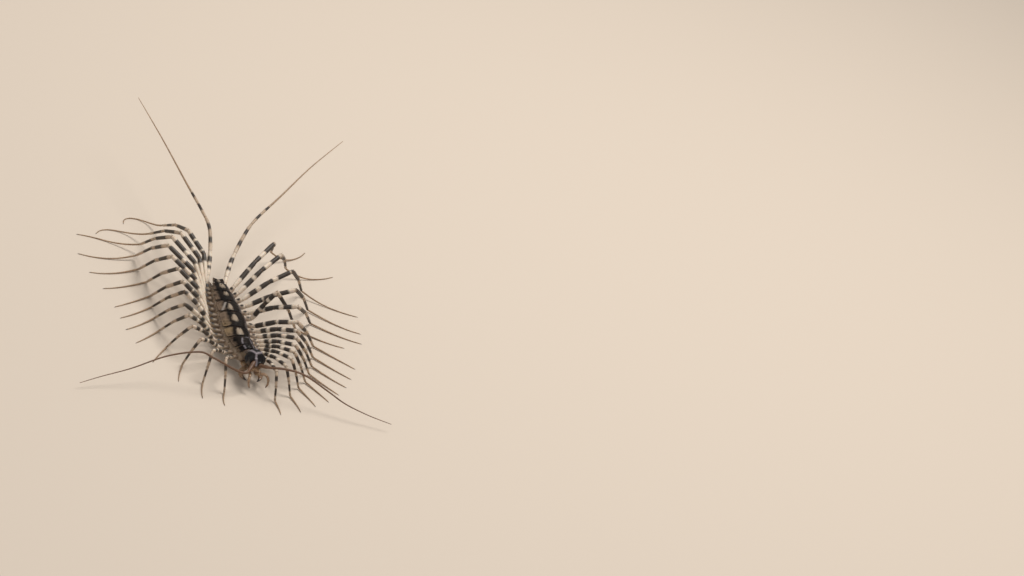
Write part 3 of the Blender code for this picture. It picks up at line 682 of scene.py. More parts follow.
def trunk_skin():
    """The whole soft body from inside the back of the head to the last segment."""
    y = np.arange(-10.3, 12.35, SKIN_STEP)[:, None]
    turn = np.linspace(-math.pi / 2, 1.5 * math.pi, SKIN_COLUMNS, endpoint=False)[None]
    cosine, sine = np.cos(turn), np.sin(turn)
    neck = smooth((y + 9.75) / 0.65)
    end = smooth((12.4 - y) / 1.9) ** 0.5
    width = NECK_HALF_WIDTH + (flank(np.maximum(y, -9.1)) - NECK_HALF_WIDTH) * neck
    low = (NECK_MIDDLE - NECK_HALF_HEIGHT) * (1 - neck) + belly_height(y) * neck
    high = (NECK_MIDDLE + NECK_HALF_HEIGHT) * (1 - neck) + (back_height(y) - 0.3) * neck
    centre = 3.0 + (NECK_MIDDLE - 3.0) * (1 - neck)
    across = width * end * np.sign(cosine) * np.abs(cosine) ** 0.72
    below = centre - (centre - low) * (0.25 + 0.75 * end) * np.abs(sine) ** 0.8
    above = centre + (high - centre) * (0.25 + 0.75 * end) * np.abs(sine) ** 0.85
    height = np.where(sine < 0, below, above)

    borders = [TRUNK_ENDS[0]] + [(a + b) / 2 for a, b in zip(LEG_ROOT_Y, LEG_ROOT_Y[1:])] + [10.4, 11.2, 11.8]
    nearest = np.min([np.abs(y - border) for border in borders], axis=0)
    points = on_body(across, y, height)
    wrinkled = wrinkle(points, 3.0, 0.05, 4) + wrinkle(points, 9.0, 0.018, 9)
    lift = -0.09 * np.exp(-(nearest / 0.13) ** 2) + wrinkled * (0.4 + 0.6 * np.abs(cosine))
    lift += 0.05 * smooth((-sine - 0.72) / 0.12) * smooth((nearest - 0.12) / 0.08)
    collar_depth = np.full(lift.shape, -1.0)
    side_on = smooth(np.abs(cosine) * 2 - 0.6)
    for number, root_y in enumerate(LEG_ROOT_Y, 1):
        radius = 0.44 * girth(number) + 0.1
        beyond = np.hypot(y - root_y, height - ROOT_HEIGHT) - radius
        slope = smooth((COLLAR_SPREAD - beyond) / COLLAR_SPREAD)
        folds = 0.035 * np.cos(beyond * 30) * smooth((0.45 - beyond) / 0.3) * smooth((beyond + 0.1) / 0.1)
        lift = np.maximum(lift, ((SOCKET_LENGTH + 0.02) * slope + folds) * side_on)
        collar_depth = np.maximum(collar_depth, 0.22 - np.abs(beyond - 0.05) - 0.3 * (1 - side_on))
    outward = np.stack([np.sign(cosine) * np.abs(cosine) ** 1.2 + 0 * y, 0 * lift, sine + 0 * y], -1)
    outward /= np.linalg.norm(outward, axis=-1)[..., None]
    points = points + outward * lift[..., None]
    stripe = 0.35 - np.abs(height - 3.75) + 0 * y
    values = {
        "crease": 0.09 - nearest + 0 * sine,
        "collar": collar_depth,
        "stripe": np.where(y < -1, stripe, stripe - 0.25),
    }
    return rings_mesh("trunk_skin", points, values)


add_piece("trunk_skin", trunk_skin(), skin_finish, "shell", *["trunk_%d" % k for k in range(1, 8)], "tail")
print("trunk skin", triangles[-1])

# %% [markdown]
# ## The back plates
# Seven shields cover the back, and a small one the tail. Each has a notch in the middle of its rear edge,
# an air slit in front of it, a fine rim along its sides and a little tilt, so that it laps over the next.
# All but the first two have a pale raised saddle. A grid bent by one formula gives the shape: much the same
# formula shapes the solids, but here the shell is thin at its edges, its saddle lies where the photo shows
# it, and it has the slit, the rim and small dents.

# %% Plate finish
plate_finish = (
    Finish("plate", (0.002, 0.0011, 0.0009), (0.03, 0.018, 0.012), drift=0.5, spots=0.9, pits=10)
    # Grey-brown band along the plates' right sides: partly a real marking, and partly painted sheen where it
    # is wider than the left band.
    .mark("side_band_and_sheen", (0.17, 0.118, 0.082), softness=0.25, raggedness=0.8, rags=1.3, strength=0.9)
    .mark("left_margin", (0.12, 0.097, 0.092), softness=0.2, raggedness=0.9, rags=1.5, strength=0.7)
    .mark("yellow", (0.235, 0.163, 0.088), softness=0.4, raggedness=0.9, rags=1.4, strength=0.8)
    .mark("blotch", (0.03, 0.019, 0.013), softness=0.2, raggedness=1.8, rags=1.1, strength=0.85)
    .mark("vein", (0.20, 0.175, 0.19), softness=0.1, raggedness=0.2, rags=3, strength=0.85)
    # The pale line along the fifth plate's front right border is a painted highlight.
    .mark("painted_highlight", (0.30, 0.26, 0.23), softness=0.14, raggedness=0.3, rags=2.5, strength=0.9)
    .mark("saddle", (0.32, 0.25, 0.185), softness=0.14, raggedness=0.4, rags=2.2, strength=0.95)
    .mark("slit", (0.02, 0.012, 0.01), softness=0.05, raggedness=0.04)
    .mark("rear_line", (0.008, 0.006, 0.006), softness=0.06, raggedness=0.08)
    .gloss(0.3, relief_mm=0.008, specular=0.1))

# %% Plates
PLATE_COLUMNS = 81
SADDLES = {3: (0.0, -4.62, 0.55, 0.9), 4: (-0.08, -0.85, 0.48, 0.9), 5: (-0.2, 2.45, 0.4, 0.8),
           6: (0.1, 6.65, 0.38, 0.6), 7: (0.15, 9.45, 0.45, 0.7), 8: (0.0, 11.35, 0.25, 0.35)}
VEINS = {1: (((-0.8, -8.2), (-0.72, -9.2)), ((0.9, -8.2), (0.8, -9.2))),
         2: (((-0.62, -8.0), (-0.5, -7.2), (-0.15, -6.6), (0.5, -6.25), (1.1, -6.25), (1.3, -6.6),
              (1.2, -7.9)),)}
# Lines of painted highlight: a pale line along the fifth plate's front right border.
HIGHLIGHT_LINES = {5: (((-1.55, 1.9), (-0.75, 3.6)),)}
YELLOW = {3: (-1.75, -4.0, 0.55, 1.1), 4: (-1.85, -2.3, 0.5, 1.0)}
# Where the side bands start across each plate. The right band starts further in because it also carries
# painted sheen.
MARGIN_FROM = {RIGHT: (0.95, 0.85, 0.58, 0.53, 0.6, 0.72, 0.8, 0.85),
               LEFT: (0.95, 0.9, 0.84, 0.8, 0.8, 0.8, 0.84, 0.88)}


def near_lines(x, y, lines):
    """How far points are from the nearest of some bent lines."""
    best = np.full(np.shape(x), 9.0)
    for line in lines:
        for (x0, y0), (x1, y1) in zip(line, line[1:]):
            dx, dy = x1 - x0, y1 - y0
            t = np.clip(((x - x0) * dx + (y - y0) * dy) / (dx ** 2 + dy ** 2), 0, 1)
            best = np.minimum(best, np.hypot(x - x0 - t * dx, y - y0 - t * dy))
    return best


def plate_mesh(index, front, rear):
    """One shield of the back as a closed, thin-edged shell."""
    size = min(1.0, (rear - front) / 2.4)
    rows = round((rear - front) / 0.055)
    across, along = np.meshgrid(np.linspace(-1, 1, PLATE_COLUMNS), np.linspace(0, 1, rows))
    notch = size * PLATE_NOTCH * np.exp(-(across / 0.22) ** 2)
    start = front + size * 0.4 * np.abs(across) ** 3
    end = rear - notch - size * 0.18 * (1 - np.abs(across) ** 3)
    y = start + (end - start) * along
    edge = 1 - 0.1 * (1 - along) ** 2 - 0.05 * along ** 6
    width = half_width(y) * edge
    dome = (1 - np.abs(across) ** 2.4) * (back_height(y) - PLATE_EDGE_HEIGHT)
    z = PLATE_EDGE_HEIGHT + dome + PLATE_TILT * (along - 0.5) * (1 - 0.5 * across ** 2)
    sideways = across * width
    saddle_x, saddle_y, saddle_width, saddle_length = SADDLES.get(index, (0.0, 99.0, 0.4, 0.4))
    taper = 1 - 0.25 * (y - saddle_y) / saddle_length
    saddle = np.hypot((sideways - saddle_x) / (saddle_width * taper), (y - saddle_y) / saddle_length)
    slit_y = rear - notch.max() - 0.3 * size
    slit = np.hypot(sideways / 0.07, (y - slit_y) / (0.3 * size))
    border = np.minimum(width * (1 - np.abs(across)), np.minimum(y - start, end - y))
    rim = np.exp(-((border - 0.06) / 0.05) ** 2) - 0.8 * np.exp(-((border - 0.2) / 0.07) ** 2)
    z += SADDLE_HEIGHT * 0.9 * smooth(1.45 - saddle) - 0.12 * smooth(1.3 - slit) + 0.045 * smooth(1.9 - slit)
    z += 0.035 * rim * smooth(np.abs(across) * 2.2)
    top = on_body(sideways, y, z)
    top[..., 2] += wrinkle(top, 2.2, 0.035, index) + wrinkle(top, 7.0, 0.015, 20 + index)
    bottom = top.copy()
    bottom[..., 2] -= 0.03 + 0.26 * smooth(border / 0.5)
    yellow_x, yellow_y, yellow_width, yellow_length = YELLOW.get(index, (0.0, 99.0, 0.4, 0.4))
    yellow = np.hypot((sideways - yellow_x) / yellow_width, (y - yellow_y) / yellow_length)
    # Depth inside the right side band, which is partly marking and partly painted sheen.
    right_band_depth_and_sheen = (-across - MARGIN_FROM[RIGHT][index - 1]) * width
    values = {
        "side_band_and_sheen": right_band_depth_and_sheen,
        "left_margin": (across - MARGIN_FROM[LEFT][index - 1]) * width,
        "blotch": np.minimum(right_band_depth_and_sheen, 0.25) - 0.42,
        # Painted highlight along the listed lines.
        "painted_highlight": 0.15 - near_lines(sideways, y, HIGHLIGHT_LINES.get(index, ())),
        "vein": 0.12 - near_lines(sideways, y, VEINS.get(index, ())),
        "saddle": (1 - saddle) * saddle_width,
        "slit": (1 - slit) * 0.07,
        "yellow": (1 - yellow) * yellow_width,
        "rear_line": 0.12 - np.minimum(end - y, y - start),
    }
    return shell_mesh("plate_%d" % index, top, bottom, values)


plate_rears = [rear - GAP / 2 + 0.12 for rear in TRUNK_ENDS[1:]] + [TAIL_END + 0.1]
for index, (end_before, rear) in enumerate(zip(TRUNK_ENDS, plate_rears), 1):
    plate = plate_mesh(index, end_before + (GAP + PLATE_LAP) / 2, rear)
    add_piece("back_plate_%d" % index, plate, plate_finish, "shell")
print("plates", sum(triangles[-8:]))

# %% [markdown]
# ## The head
# The head is a domed capsule with an eye on each side, a ring in front for each feeler and pale sutures in a
# Y on its crown. Its grid starts from the solid's rounded form, with poles at the front and rear. Sockets,
# brow rims, sutures and the front shield are added as heights along the outward direction.

# %% Head finish
head_finish = (
    Finish("head", (0.004, 0.003, 0.0035), (0.024, 0.018, 0.016), drift=0.4, spots=2.5, pits=14)
    .mark("face", (0.20, 0.12, 0.065), softness=0.3, raggedness=0.4, rags=2, strength=0.9)
    .mark("cheek", (0.13, 0.10, 0.08), softness=0.2, raggedness=0.3, rags=3, strength=0.7)
    .mark("suture", (0.27, 0.23, 0.25), softness=0.12, raggedness=0.2, rags=3, strength=0.9)
    .gloss(0.28, relief_mm=0.006, specular=0.2))

# %% Head capsule
HEAD_FRONT, HEAD_REAR, HEAD_HALF_WIDTH, HEAD_TOP, HEAD_BOTTOM = -13.15, -9.94, 1.55, 5.8, 2.8
HEAD_CENTRE = np.array([float(middle(HEAD_X_FROM)), (HEAD_FRONT + HEAD_REAR) / 2,
                        (HEAD_TOP + HEAD_BOTTOM) / 2])
HEAD_HALF = np.array([HEAD_HALF_WIDTH, (HEAD_REAR - HEAD_FRONT) / 2, (HEAD_TOP - HEAD_BOTTOM) / 2])
FEELER_FROM = np.array([HEAD_CENTRE[0], -11.75, 4.05])
FEELER = {
    RIGHT: ((-0.86, -1.53, 0.1), (-1.6, -2.7, -0.4), (-2.75, -3.1, -0.35), (-4.57, -3.5, 0.45),
            (-6.5, -3.5, 1.3), (-8.3, -3.3, 1.9), (-10.6, -3.1, 2.45), (-15.5, -3.4, 1.1),
            (-21.0, -5.1, -0.9), (-25.6, -6.4, -2.2), (-29.0, -7.7, -3.0)),
    LEFT: ((0.83, -1.43, 0.25), (1.9, -2.6, 0.9), (4.2, -3.4, 1.5), (7.4, -4.0, 1.2), (11.4, -5.4, -0.3),
           (14.5, -6.8, -1.4), (18.4, -8.0, -2.2), (22.3, -9.0, -2.7)),
}
SUTURES = (
    ((-0.25, -0.35), (-0.55, -0.05), (-0.85, 0.45), (-1.05, 1.0)),
    ((-0.25, -0.35), (0.25, -0.15), (0.75, 0.2), (1.05, 0.7)),
    ((-0.25, -0.35), (-0.25, -0.8), (-0.15, -1.45)),
    ((0.0, 0.75), (-0.05, 1.5)),
)


def head_mesh():
    """The capsule with its sockets, rims and sutures."""
    polar = np.linspace(0.02, math.pi - 0.02, 110)[:, None]
    turn = np.linspace(0, 2 * math.pi, 144, endpoint=False)[None]
    y = -np.cos(polar) + 0 * turn
    x = np.sin(polar) * np.cos(turn)
    z = np.sin(polar) * np.sin(turn)
    squareness = 1 + 0.12 * (1 - np.abs(x)) * (1 - np.abs(z))
    crown = 1 + 0.28 * np.maximum(y, 0) * np.maximum(z, 0)
    front = smooth((-y - 0.1) / 0.9)
    z = z * crown * (1 - np.where(z > 0, 0.47, 0.22) * front) - 0.16 * front
    x = x * (1 - 0.16 * front + 0.05 * smooth(y))
    local = np.stack([x * squareness, y * crown, z * squareness], -1) * HEAD_HALF
    outward = local / HEAD_HALF ** 2
    outward /= np.linalg.norm(outward, axis=-1)[..., None]
    lx, ly, lz = local[..., 0], local[..., 1], local[..., 2]
    lift = wrinkle(local, 2.6, 0.035, 31) + wrinkle(local, 9.0, 0.012, 33)
    cheek = np.full(lift.shape, -1.0)
    for side in SIDES:
        eye = np.array([side * EYE_CENTRE[0], EYE_CENTRE[1] - HEAD_CENTRE[1], EYE_CENTRE[2] - HEAD_CENTRE[2]])
        level = np.linalg.norm((local - eye) / (np.array(EYE_HALF_SIZES) + 0.06), axis=-1)
        lift += 0.1 * np.exp(-((level - 1.22) / 0.14) ** 2) - 0.25 * smooth(1.15 - level)
        cheek = np.maximum(cheek, (0.3 - np.abs(level - 1.35)) * 0.5 - np.clip(lz, 0, 1) * 0.6)
        root = FEELER_FROM + np.array(FEELER[side][0]) - HEAD_CENTRE
        ahead = np.array(FEELER[side][1]) - np.array(FEELER[side][0])
        ahead /= np.linalg.norm(ahead)
        off = local - root
        aside = np.linalg.norm(off - (off @ ahead)[..., None] * ahead, axis=-1)
        near = smooth(2.2 - np.linalg.norm(off, axis=-1))
        lift += near * (0.16 * np.exp(-((aside - 0.5) / 0.1) ** 2) - 0.1 * smooth((0.45 - aside) / 0.2))
    on_top = smooth((lz + 0.1) / 0.3)
    suture = near_lines(lx, ly, SUTURES)
    lift += on_top * (0.03 * np.exp(-(suture / 0.14) ** 2) - 0.05 * np.exp(-(suture / 0.045) ** 2))
    shield = smooth((-ly - 1.0) / 0.2) * smooth((0.75 - np.abs(lx)) / 0.15) * smooth((0.05 - lz) / 0.2)
    lift += 0.08 * shield - 0.06 * np.exp(-((-ly - 1.0) / 0.06) ** 2) * smooth((0.05 - lz) / 0.2)
    points = HEAD_CENTRE + local + outward * lift[..., None]
    values = {
        "suture": np.where(lz > -0.1, 0.15 - suture, -0.2),
        "face": np.minimum(-ly - 0.95, -0.25 - lz),
        "cheek": cheek,
    }
    return rings_mesh("head", points, values)


add_piece("head_capsule", head_mesh(), head_finish, "shell", "head")
print("head", triangles[-1])

# %% [markdown]
# ## The eyes
# House centipedes see with a few hundred lenses on each side of the head. A smooth black ball would lose
# that soft glitter, and a bump pattern would vanish at the rim, so each lens is a small dome: the lens tree
# sets one on each point of an evenly wound spiral over the eye.

# %% Eyes
LENS_COUNT, LENS_RADIUS = 620, 0.058
eye_finish = Finish("eye", (0.006, 0.006, 0.008), (0.02, 0.018, 0.024), spots=4, pits=20)
eye_finish = eye_finish.gloss(0.28, 0.002, specular=0.35)
golden_turn = math.pi * (3 - math.sqrt(5))
for side in SIDES:
    centre = np.array([HEAD_CENTRE[0] + side * EYE_CENTRE[0], EYE_CENTRE[1], EYE_CENTRE[2]])
    count = np.arange(LENS_COUNT)
    height = 1 - 2 * (count + 0.5) / LENS_COUNT
    round_it = np.sqrt(1 - height ** 2)
    wound = count * golden_turn
    outward = np.stack([height, round_it * np.cos(wound), round_it * np.sin(wound)], 1)
    seen = outward[outward[:, 0] * side > -0.35]
    half = np.array(EYE_HALF_SIZES)
    normal = seen / half
    normal /= np.linalg.norm(normal, axis=1)[:, None]
    lenses = grow(points_mesh(centre + seen * (half - 0.02), aim=normal), lens_tree,
                  {"Lens radius": LENS_RADIUS * 0.001, "Material": eye_finish})
    polar = np.linspace(0.03, math.pi - 0.03, 40)[:, None]
    turn = np.linspace(0, 2 * math.pi, 56, endpoint=False)[None]
    ball = np.stack([np.sin(polar) * np.cos(turn), -np.cos(polar) + 0 * turn,
                     np.sin(polar) * np.sin(turn)], -1)
    core = rings_mesh("eye", centre + ball * (half - 0.02))
    core.materials.append(eye_finish)
    name = "eye_" + SIDE_NAME[side]
    add_piece(name + "_lenses", join_meshes(name, core, lenses), None, "eye", name)
print("eyes", triangles[-2:])

# %% [markdown]
# ## Mouthparts
# Under the head two poison claws curve inwards from a broad breast shield, and beside the mouth a pair of
# slender palps hangs down. All are jointed: each article is a spindle with a cuff at its end. One
# function turns a line and its joints into such a limb, and the claws' points are drawn out dark and sharp.

# %% Jointed limbs
mouth_finish = (
    Finish("mouthparts", (0.27, 0.16, 0.085), (0.38, 0.255, 0.155), drift=0.8, spots=1.6, pits=12)
    .mark("joint", (0.12, 0.06, 0.03), softness=0.08, raggedness=0.06, strength=0.8)
    .mark("tip", (0.025, 0.012, 0.008), softness=0.25, raggedness=0.1)
    .gloss(0.25, relief_mm=0.005, coat=0.3, translucence=0.2))
bristle_finish = Finish("bristle", (0.10, 0.055, 0.025), (0.2, 0.12, 0.06), spots=3).gloss(0.3)


POISON_CLAW = ((0.35, -10.3, 1.95), (0.75, -10.75, 1.9), (1.25, -11.15, 1.8), (1.65, -11.95, 1.65),
               (1.45, -12.85, 1.5), (0.85, -13.45, 1.35))
PALP = {
    RIGHT: ((0.45, -12.1, 2.42), (0.5, -12.6, 2.22), (0.6, -13.2, 2.4), (0.85, -13.9, 2.7),
            (1.05, -14.5, 2.4), (1.0, -14.9, 1.7), (0.7, -15.1, 1.05)),
    LEFT: ((0.45, -12.1, 2.42), (0.55, -12.6, 2.25), (0.95, -13.1, 2.6), (1.6, -13.5, 2.95),
           (2.15, -13.9, 2.7), (2.35, -14.3, 1.9), (2.05, -14.6, 1.15)),
}


def article_profile(fraction, joints, waist=0.2, cuff=0.1):
    """How a jointed limb narrows at each joint and swells to a cuff before it."""
    factor = np.ones_like(fraction)
    for joint in joints:
        factor -= waist * np.exp(-((fraction - joint) / 0.012) ** 2)
        factor += cuff * np.exp(-((fraction - joint + 0.03) / 0.02) ** 2)
    return factor


def jointed_limb(name, points, fractions, radii, joints, tip_from=2.0, ridge_depth=0.02):
    """A limb of several articles along a smooth line, with its joints and tip marked."""
    line = through(points, 0.06)
    run = run_of(line)
    fraction = run / run[-1]
    thickness = np.interp(fraction, fractions, radii) * article_profile(fraction, joints)
    rings = limb_rings(line, thickness, 20, 5, ridge_depth)
    nearest = np.min([np.abs(fraction - joint) for joint in joints], axis=0) * run[-1]
    values = {"joint": (0.06 - nearest)[:, None], "tip": ((fraction - tip_from) * run[-1])[:, None]}
    return rings_mesh(name, rings, values), line, thickness


mouth_bristles = Bristles()
rng = np.random.default_rng(7)


def on_strip(strip, along, turn):
    """A place on the unwrap, where each limb has a numbered strip and each part of it a start and stop."""
    number, count, start, stop = strip
    return start + (stop - start) * along, (number + 0.06 + 0.88 * (turn % 1)) / count


def whiskers(bristles, line, thickness, strip, pitch, per_ring, reach, lean=0.8, first=0.0, last=1.0):
    """Stands rings of bristles along a limb, leaning to its tip, with their strip of the unwrap."""
    ahead, side, above = frames_along(line)
    run = run_of(line)
    for place_at in np.arange(first * run[-1], last * run[-1], pitch):
        k = int(np.searchsorted(run, place_at))
        k = min(k, len(line) - 2)
        for turn in rng.uniform(0, 2 * math.pi) + np.arange(per_ring) * 2 * math.pi / per_ring:
            out = math.cos(turn) * side[k] + math.sin(turn) * above[k]
            length = reach * rng.uniform(0.7, 1.2)
            bristles.stand(line[k] + out * thickness[k] * 0.9, out + lean * ahead[k], length, 1.0,
                           on_strip(strip, place_at / run[-1], turn / (2 * math.pi)))


for side in SIDES:
    path = [(HEAD_CENTRE[0] - 0.1 + side * a, b, c) for a, b, c in POISON_CLAW]
    claw, line, thickness = jointed_limb(
        "claw", path, (0, 0.15, 0.4, 0.62, 0.8, 0.93, 1), (0.36, 0.42, 0.44, 0.36, 0.25, 0.13, 0.03),
        (0.2, 0.47, 0.62, 0.74), 0.8)
    solid = "forcipule_" + SIDE_NAME[side]
    add_piece("poison_claw_" + SIDE_NAME[side], claw, mouth_finish, "mouthparts", solid)
    strip = (max(side, 0), 4, 0.01, 0.99)
    whiskers(mouth_bristles, line, thickness, strip, 0.16, 4, 0.22, first=0.12, last=0.78)
    path = [(HEAD_CENTRE[0] + side * a, b, c) for a, b, c in ((0.4, -11.6, 2.75),) + PALP[side]]
    palp, line, thickness = jointed_limb("palp", path, (0, 0.3, 0.7, 0.9, 1), (0.22, 0.23, 0.2, 0.14, 0.04),
                                         (0.18, 0.4, 0.62, 0.8), 0.95)
    add_piece("feeding_palp_" + SIDE_NAME[side], palp, mouth_finish, "mouthparts", "palp_" + SIDE_NAME[side])
    strip = (2 + max(side, 0), 4, 0.01, 0.99)
    whiskers(mouth_bristles, line, thickness, strip, 0.1, 5, 0.2, first=0.1, last=0.98)
print("mouthparts", triangles[-4:])


# %% Rounded shields and lobes of the mouth
def lobe(centre, half, squareness=0.8, dent=0.0):
    """A rounded lobe, which may have a shallow furrow down its middle."""
    polar = np.linspace(0.04, math.pi - 0.04, 36)[:, None]
    turn = np.linspace(0, 2 * math.pi, 48, endpoint=False)[None]
    x, y, z = np.sin(polar) * np.cos(turn), -np.cos(polar) + 0 * turn, np.sin(polar) * np.sin(turn)
    form = np.stack([np.sign(v) * np.abs(v) ** squareness for v in (x, y, z)], -1)
    form *= (1 - dent * np.exp(-(x / 0.16) ** 2) * (0.6 - 0.4 * y))[..., None]
    points = np.array(centre) + form * np.array(half)
    points[..., 2] += wrinkle(points, 5.0, 0.03, 51)
    return rings_mesh("lobe", points, {"joint": -1.0, "tip": -1.0})


def mouth_lobe(name, offset, half, dent=0.0):
    """A lobe placed from the middle of the head."""
    add_piece(name, lobe(HEAD_CENTRE + np.array(offset), half, dent=dent), mouth_finish, "mouthparts")


mouth_lobe("upper_lip", (0, -1.2, -0.9), (0.72, 0.5, 0.36), dent=0.22)
mouth_lobe("lower_lip", (0, -0.75, -1.4), (0.62, 0.62, 0.26), dent=0.3)
for side in SIDES:
    mouth_lobe("jaw_" + SIDE_NAME[side], (side * 0.5, -1.05, -1.22), (0.34, 0.5, 0.28))
breast = on_body(0, -9.75, 2.05) - HEAD_CENTRE
mouth_lobe("breast_shield", breast, (1.1, 0.95, 0.36), dent=0.15)

# %% [markdown]
# ## Feelers
# Each feeler is a thread of over a hundred short rings, thick at its base and as fine as a hair at its end.
# The thread tree sweeps a circle along the line and pinches it at each ring. Two stout base articles are a
# jointed limb, which is joined to the same piece.

# %% Feelers
feeler_finish = (
    Finish("feeler", (0.17, 0.085, 0.042), (0.085, 0.038, 0.02), drift=0.8, spots=0.6, pits=14)
    .mark("joint", (0.07, 0.035, 0.018), softness=0.5, raggedness=0.1, strength=0.75)
    .gloss(0.42, relief_mm=0.004, translucence=0.15))
feeler_bristles = Bristles()


def ringed_thread(line, fractions, radii, ring_length, ring_depth, material, sides=10):
    """A plain mesh of a ringed thread along a line, and its thickness at each point."""
    run = run_of(line)
    thickness = np.interp(run / run[-1], fractions, radii)
    carrier = points_mesh(line, zip(range(len(line) - 1), range(1, len(line))), thickness=thickness * 0.001)
    sizes = {"Ring length": ring_length * 0.001, "Ring depth": ring_depth, "Sides": sides,
             "Material": material}
    return grow(carrier, thread_tree, sizes), thickness


for side in SIDES:
    knots = [FEELER_FROM + np.array(point) for point in FEELER[side]]
    inward = (knots[0] - knots[1]) / np.linalg.norm(knots[0] - knots[1])
    line = through(knots, 0.12)
    thread, thickness = ringed_thread(line, (0, 0.03, 0.25, 0.6, 1), (0.25, 0.22, 0.18, 0.12, 0.05), 0.2, 0.2,
                                      feeler_finish)
    base_knots = [knots[0] + inward * 1.0, knots[0] + inward * 0.3, line[4], line[12]]
    base = jointed_limb("feeler_base", base_knots, (0, 0.3, 0.5, 0.8, 1), (0.34, 0.36, 0.3, 0.3, 0.2),
                        (0.42, 0.72))[0]
    base.materials.append(feeler_finish)
    add_piece("feeler_" + SIDE_NAME[side], join_meshes("feeler", base, thread), None, "feeler",
              "antenna_" + SIDE_NAME[side])
    strip = (max(side, 0), 2, 0.01, 0.99)
    whiskers(feeler_bristles, line, thickness, strip, 0.4, 4, 0.16, lean=1.0, first=0.02, last=0.97)
print("feelers", triangles[-2:])

# %% [markdown]
# ## Legs
# A leg has a short coxa, a bent prefemur, a straight femur and tibia, and then a foot of many small rings
# that lies along the floor. Its line repeats the corners of the solids, rounded at each joint. Along it runs
# a station number: 0 at the root, 1 at the hip, 2, 3 and 4 at the next joints and 5 at the heel. Thickness
# and dark bars are given by station, so they fit short and long legs alike. The bars were read off the photo
# for the legs that show them, and follow the usual pattern on the rest.

# %% Stance of the legs
STANCE = {
    RIGHT: (
        ((4.0, -13.5, 5.0), (3.4, -16.0, 0.3), -75, -20),
        ((6.0, -12.0, 5.2), (6.6, -14.0, 0.3), -75, -15),
        ((7.6, -9.5, 5.5), (9.2, -9.5, 0.3), -70, -10),
        ((8.6, -6.5, 5.8), (11.0, -5.0, 0.3), -55, -5),
        ((8.8, -4.0, 6.2), (11.5, -0.5, 0.3), -45, 5),
        ((9.2, -1.6, 6.6), (11.8, 3.0, 0.3), -42, 10),
        ((8.8, 1.6, 7.0), (11.6, 6.4, 0.3), -40, 10),
        ((8.8, 4.0, 7.4), (11.4, 9.6, 0.3), -36, 5),
        ((9.1, 7.2, 7.8), (11.4, 13.8, 0.3), -30, 15),
        ((9.9, 10.0, 8.2), (12.2, 17.4, 0.4), -28, 30),
        ((10.1, 13.0, 8.4), (12.4, 20.6, 1.0), -14, 30),
        ((9.0, 15.8, 8.5), (11.6, 23.0, 1.8), 26, -25),
        ((7.0, 18.0, 8.2), (9.6, 26.0, 2.4), 45, -110),
        ((5.4, 19.5, 8.0), (6.6, 29.5, 2.4), 75, -170),
    ),
    LEFT: (
        ((4.6, -14.2, 4.3), (5.0, -16.6, 0.3), -78, -15),
        ((6.4, -12.9, 4.7), (8.0, -14.6, 0.3), -70, -15),
        ((7.6, -11.2, 5.1), (10.0, -12.0, 0.3), -62, -10),
        ((8.2, -9.8, 5.6), (11.6, -10.0, 0.3), -55, -5),
        ((8.6, -8.4, 6.0), (12.8, -7.6, 0.3), -50, 5),
        ((8.9, -7.0, 6.5), (13.8, -5.2, 0.3), -46, 10),
        ((9.1, -5.6, 7.0), (14.6, -2.4, 0.3), -42, 5),
        ((9.5, -3.6, 7.4), (15.4, 1.0, 0.3), -38, 0),
        ((6.4, 1.6, 9.4), (13.2, 5.4, 0.3), -30, 20),
        ((10.6, 1.2, 7.4), (16.4, 8.0, 0.3), -32, 20),
        ((11.0, 5.4, 8.0), (16.8, 12.0, 0.4), -38, 25),
        ((11.4, 10.8, 8.3), (16.4, 16.6, 1.2), -30, 20),
        ((10.2, 15.2, 8.5), (14.4, 21.8, 2.0), 5, 30),
        ((9.6, 18.6, 8.5), (12.4, 26.0, 2.4), 20, 40),
    ),
}
FOOT_LENGTH = ((1, 4, 8, 12, 14), (3.2, 5.5, 8.0, 10.5, 10.0))
COXA_LENGTH = 1.5
FOLLOW = ((8, 13, 14), (0.35, 0.5, 0.85))
COXA_RISE = ((8, 14), (0.1, 0.7))
BOW = {LEFT: ((8, 14), (0.0, 0.0)), RIGHT: ((6, 10, 14), (0.0, 1.0, 1.1))}
FOOT_RADIUS, TIP_RADIUS = 0.25, 0.12


def at_leg(number, values):
    """Reads off a value that changes evenly from leg to leg."""
    return float(np.interp(number, *values))


def unit(vector):
    return vector / np.linalg.norm(vector)


def foot_points(side, number, heel, heading, curl):
    """The solid's line of the foot, which comes down from the heel and lies along the floor."""
    length = at_leg(number, FOOT_LENGTH)
    spot = heel.copy()
    line = []
    for k in range(24):
        angle = math.radians(heading + curl * ((k + 0.5) / 24) ** 2)
        spot = spot + np.array([side * math.cos(angle), math.sin(angle), 0]) * length / 24
        line.append(spot)
    kept = line[3::4] if curl > -90 else line[2::3]
    points = []
    for k, point in enumerate(kept):
        along = (k + 1) / len(kept)
        radius = FOOT_RADIUS + (TIP_RADIUS - FOOT_RADIUS) * along ** 2
        rest = radius * math.cos(math.pi / 6) * 0.8
        lift = max(0.0, 1 - along / 0.6) ** 2
        points.append(np.array([point[0], point[1], rest + max(0.0, heel[2] - rest) * lift]))
    return points


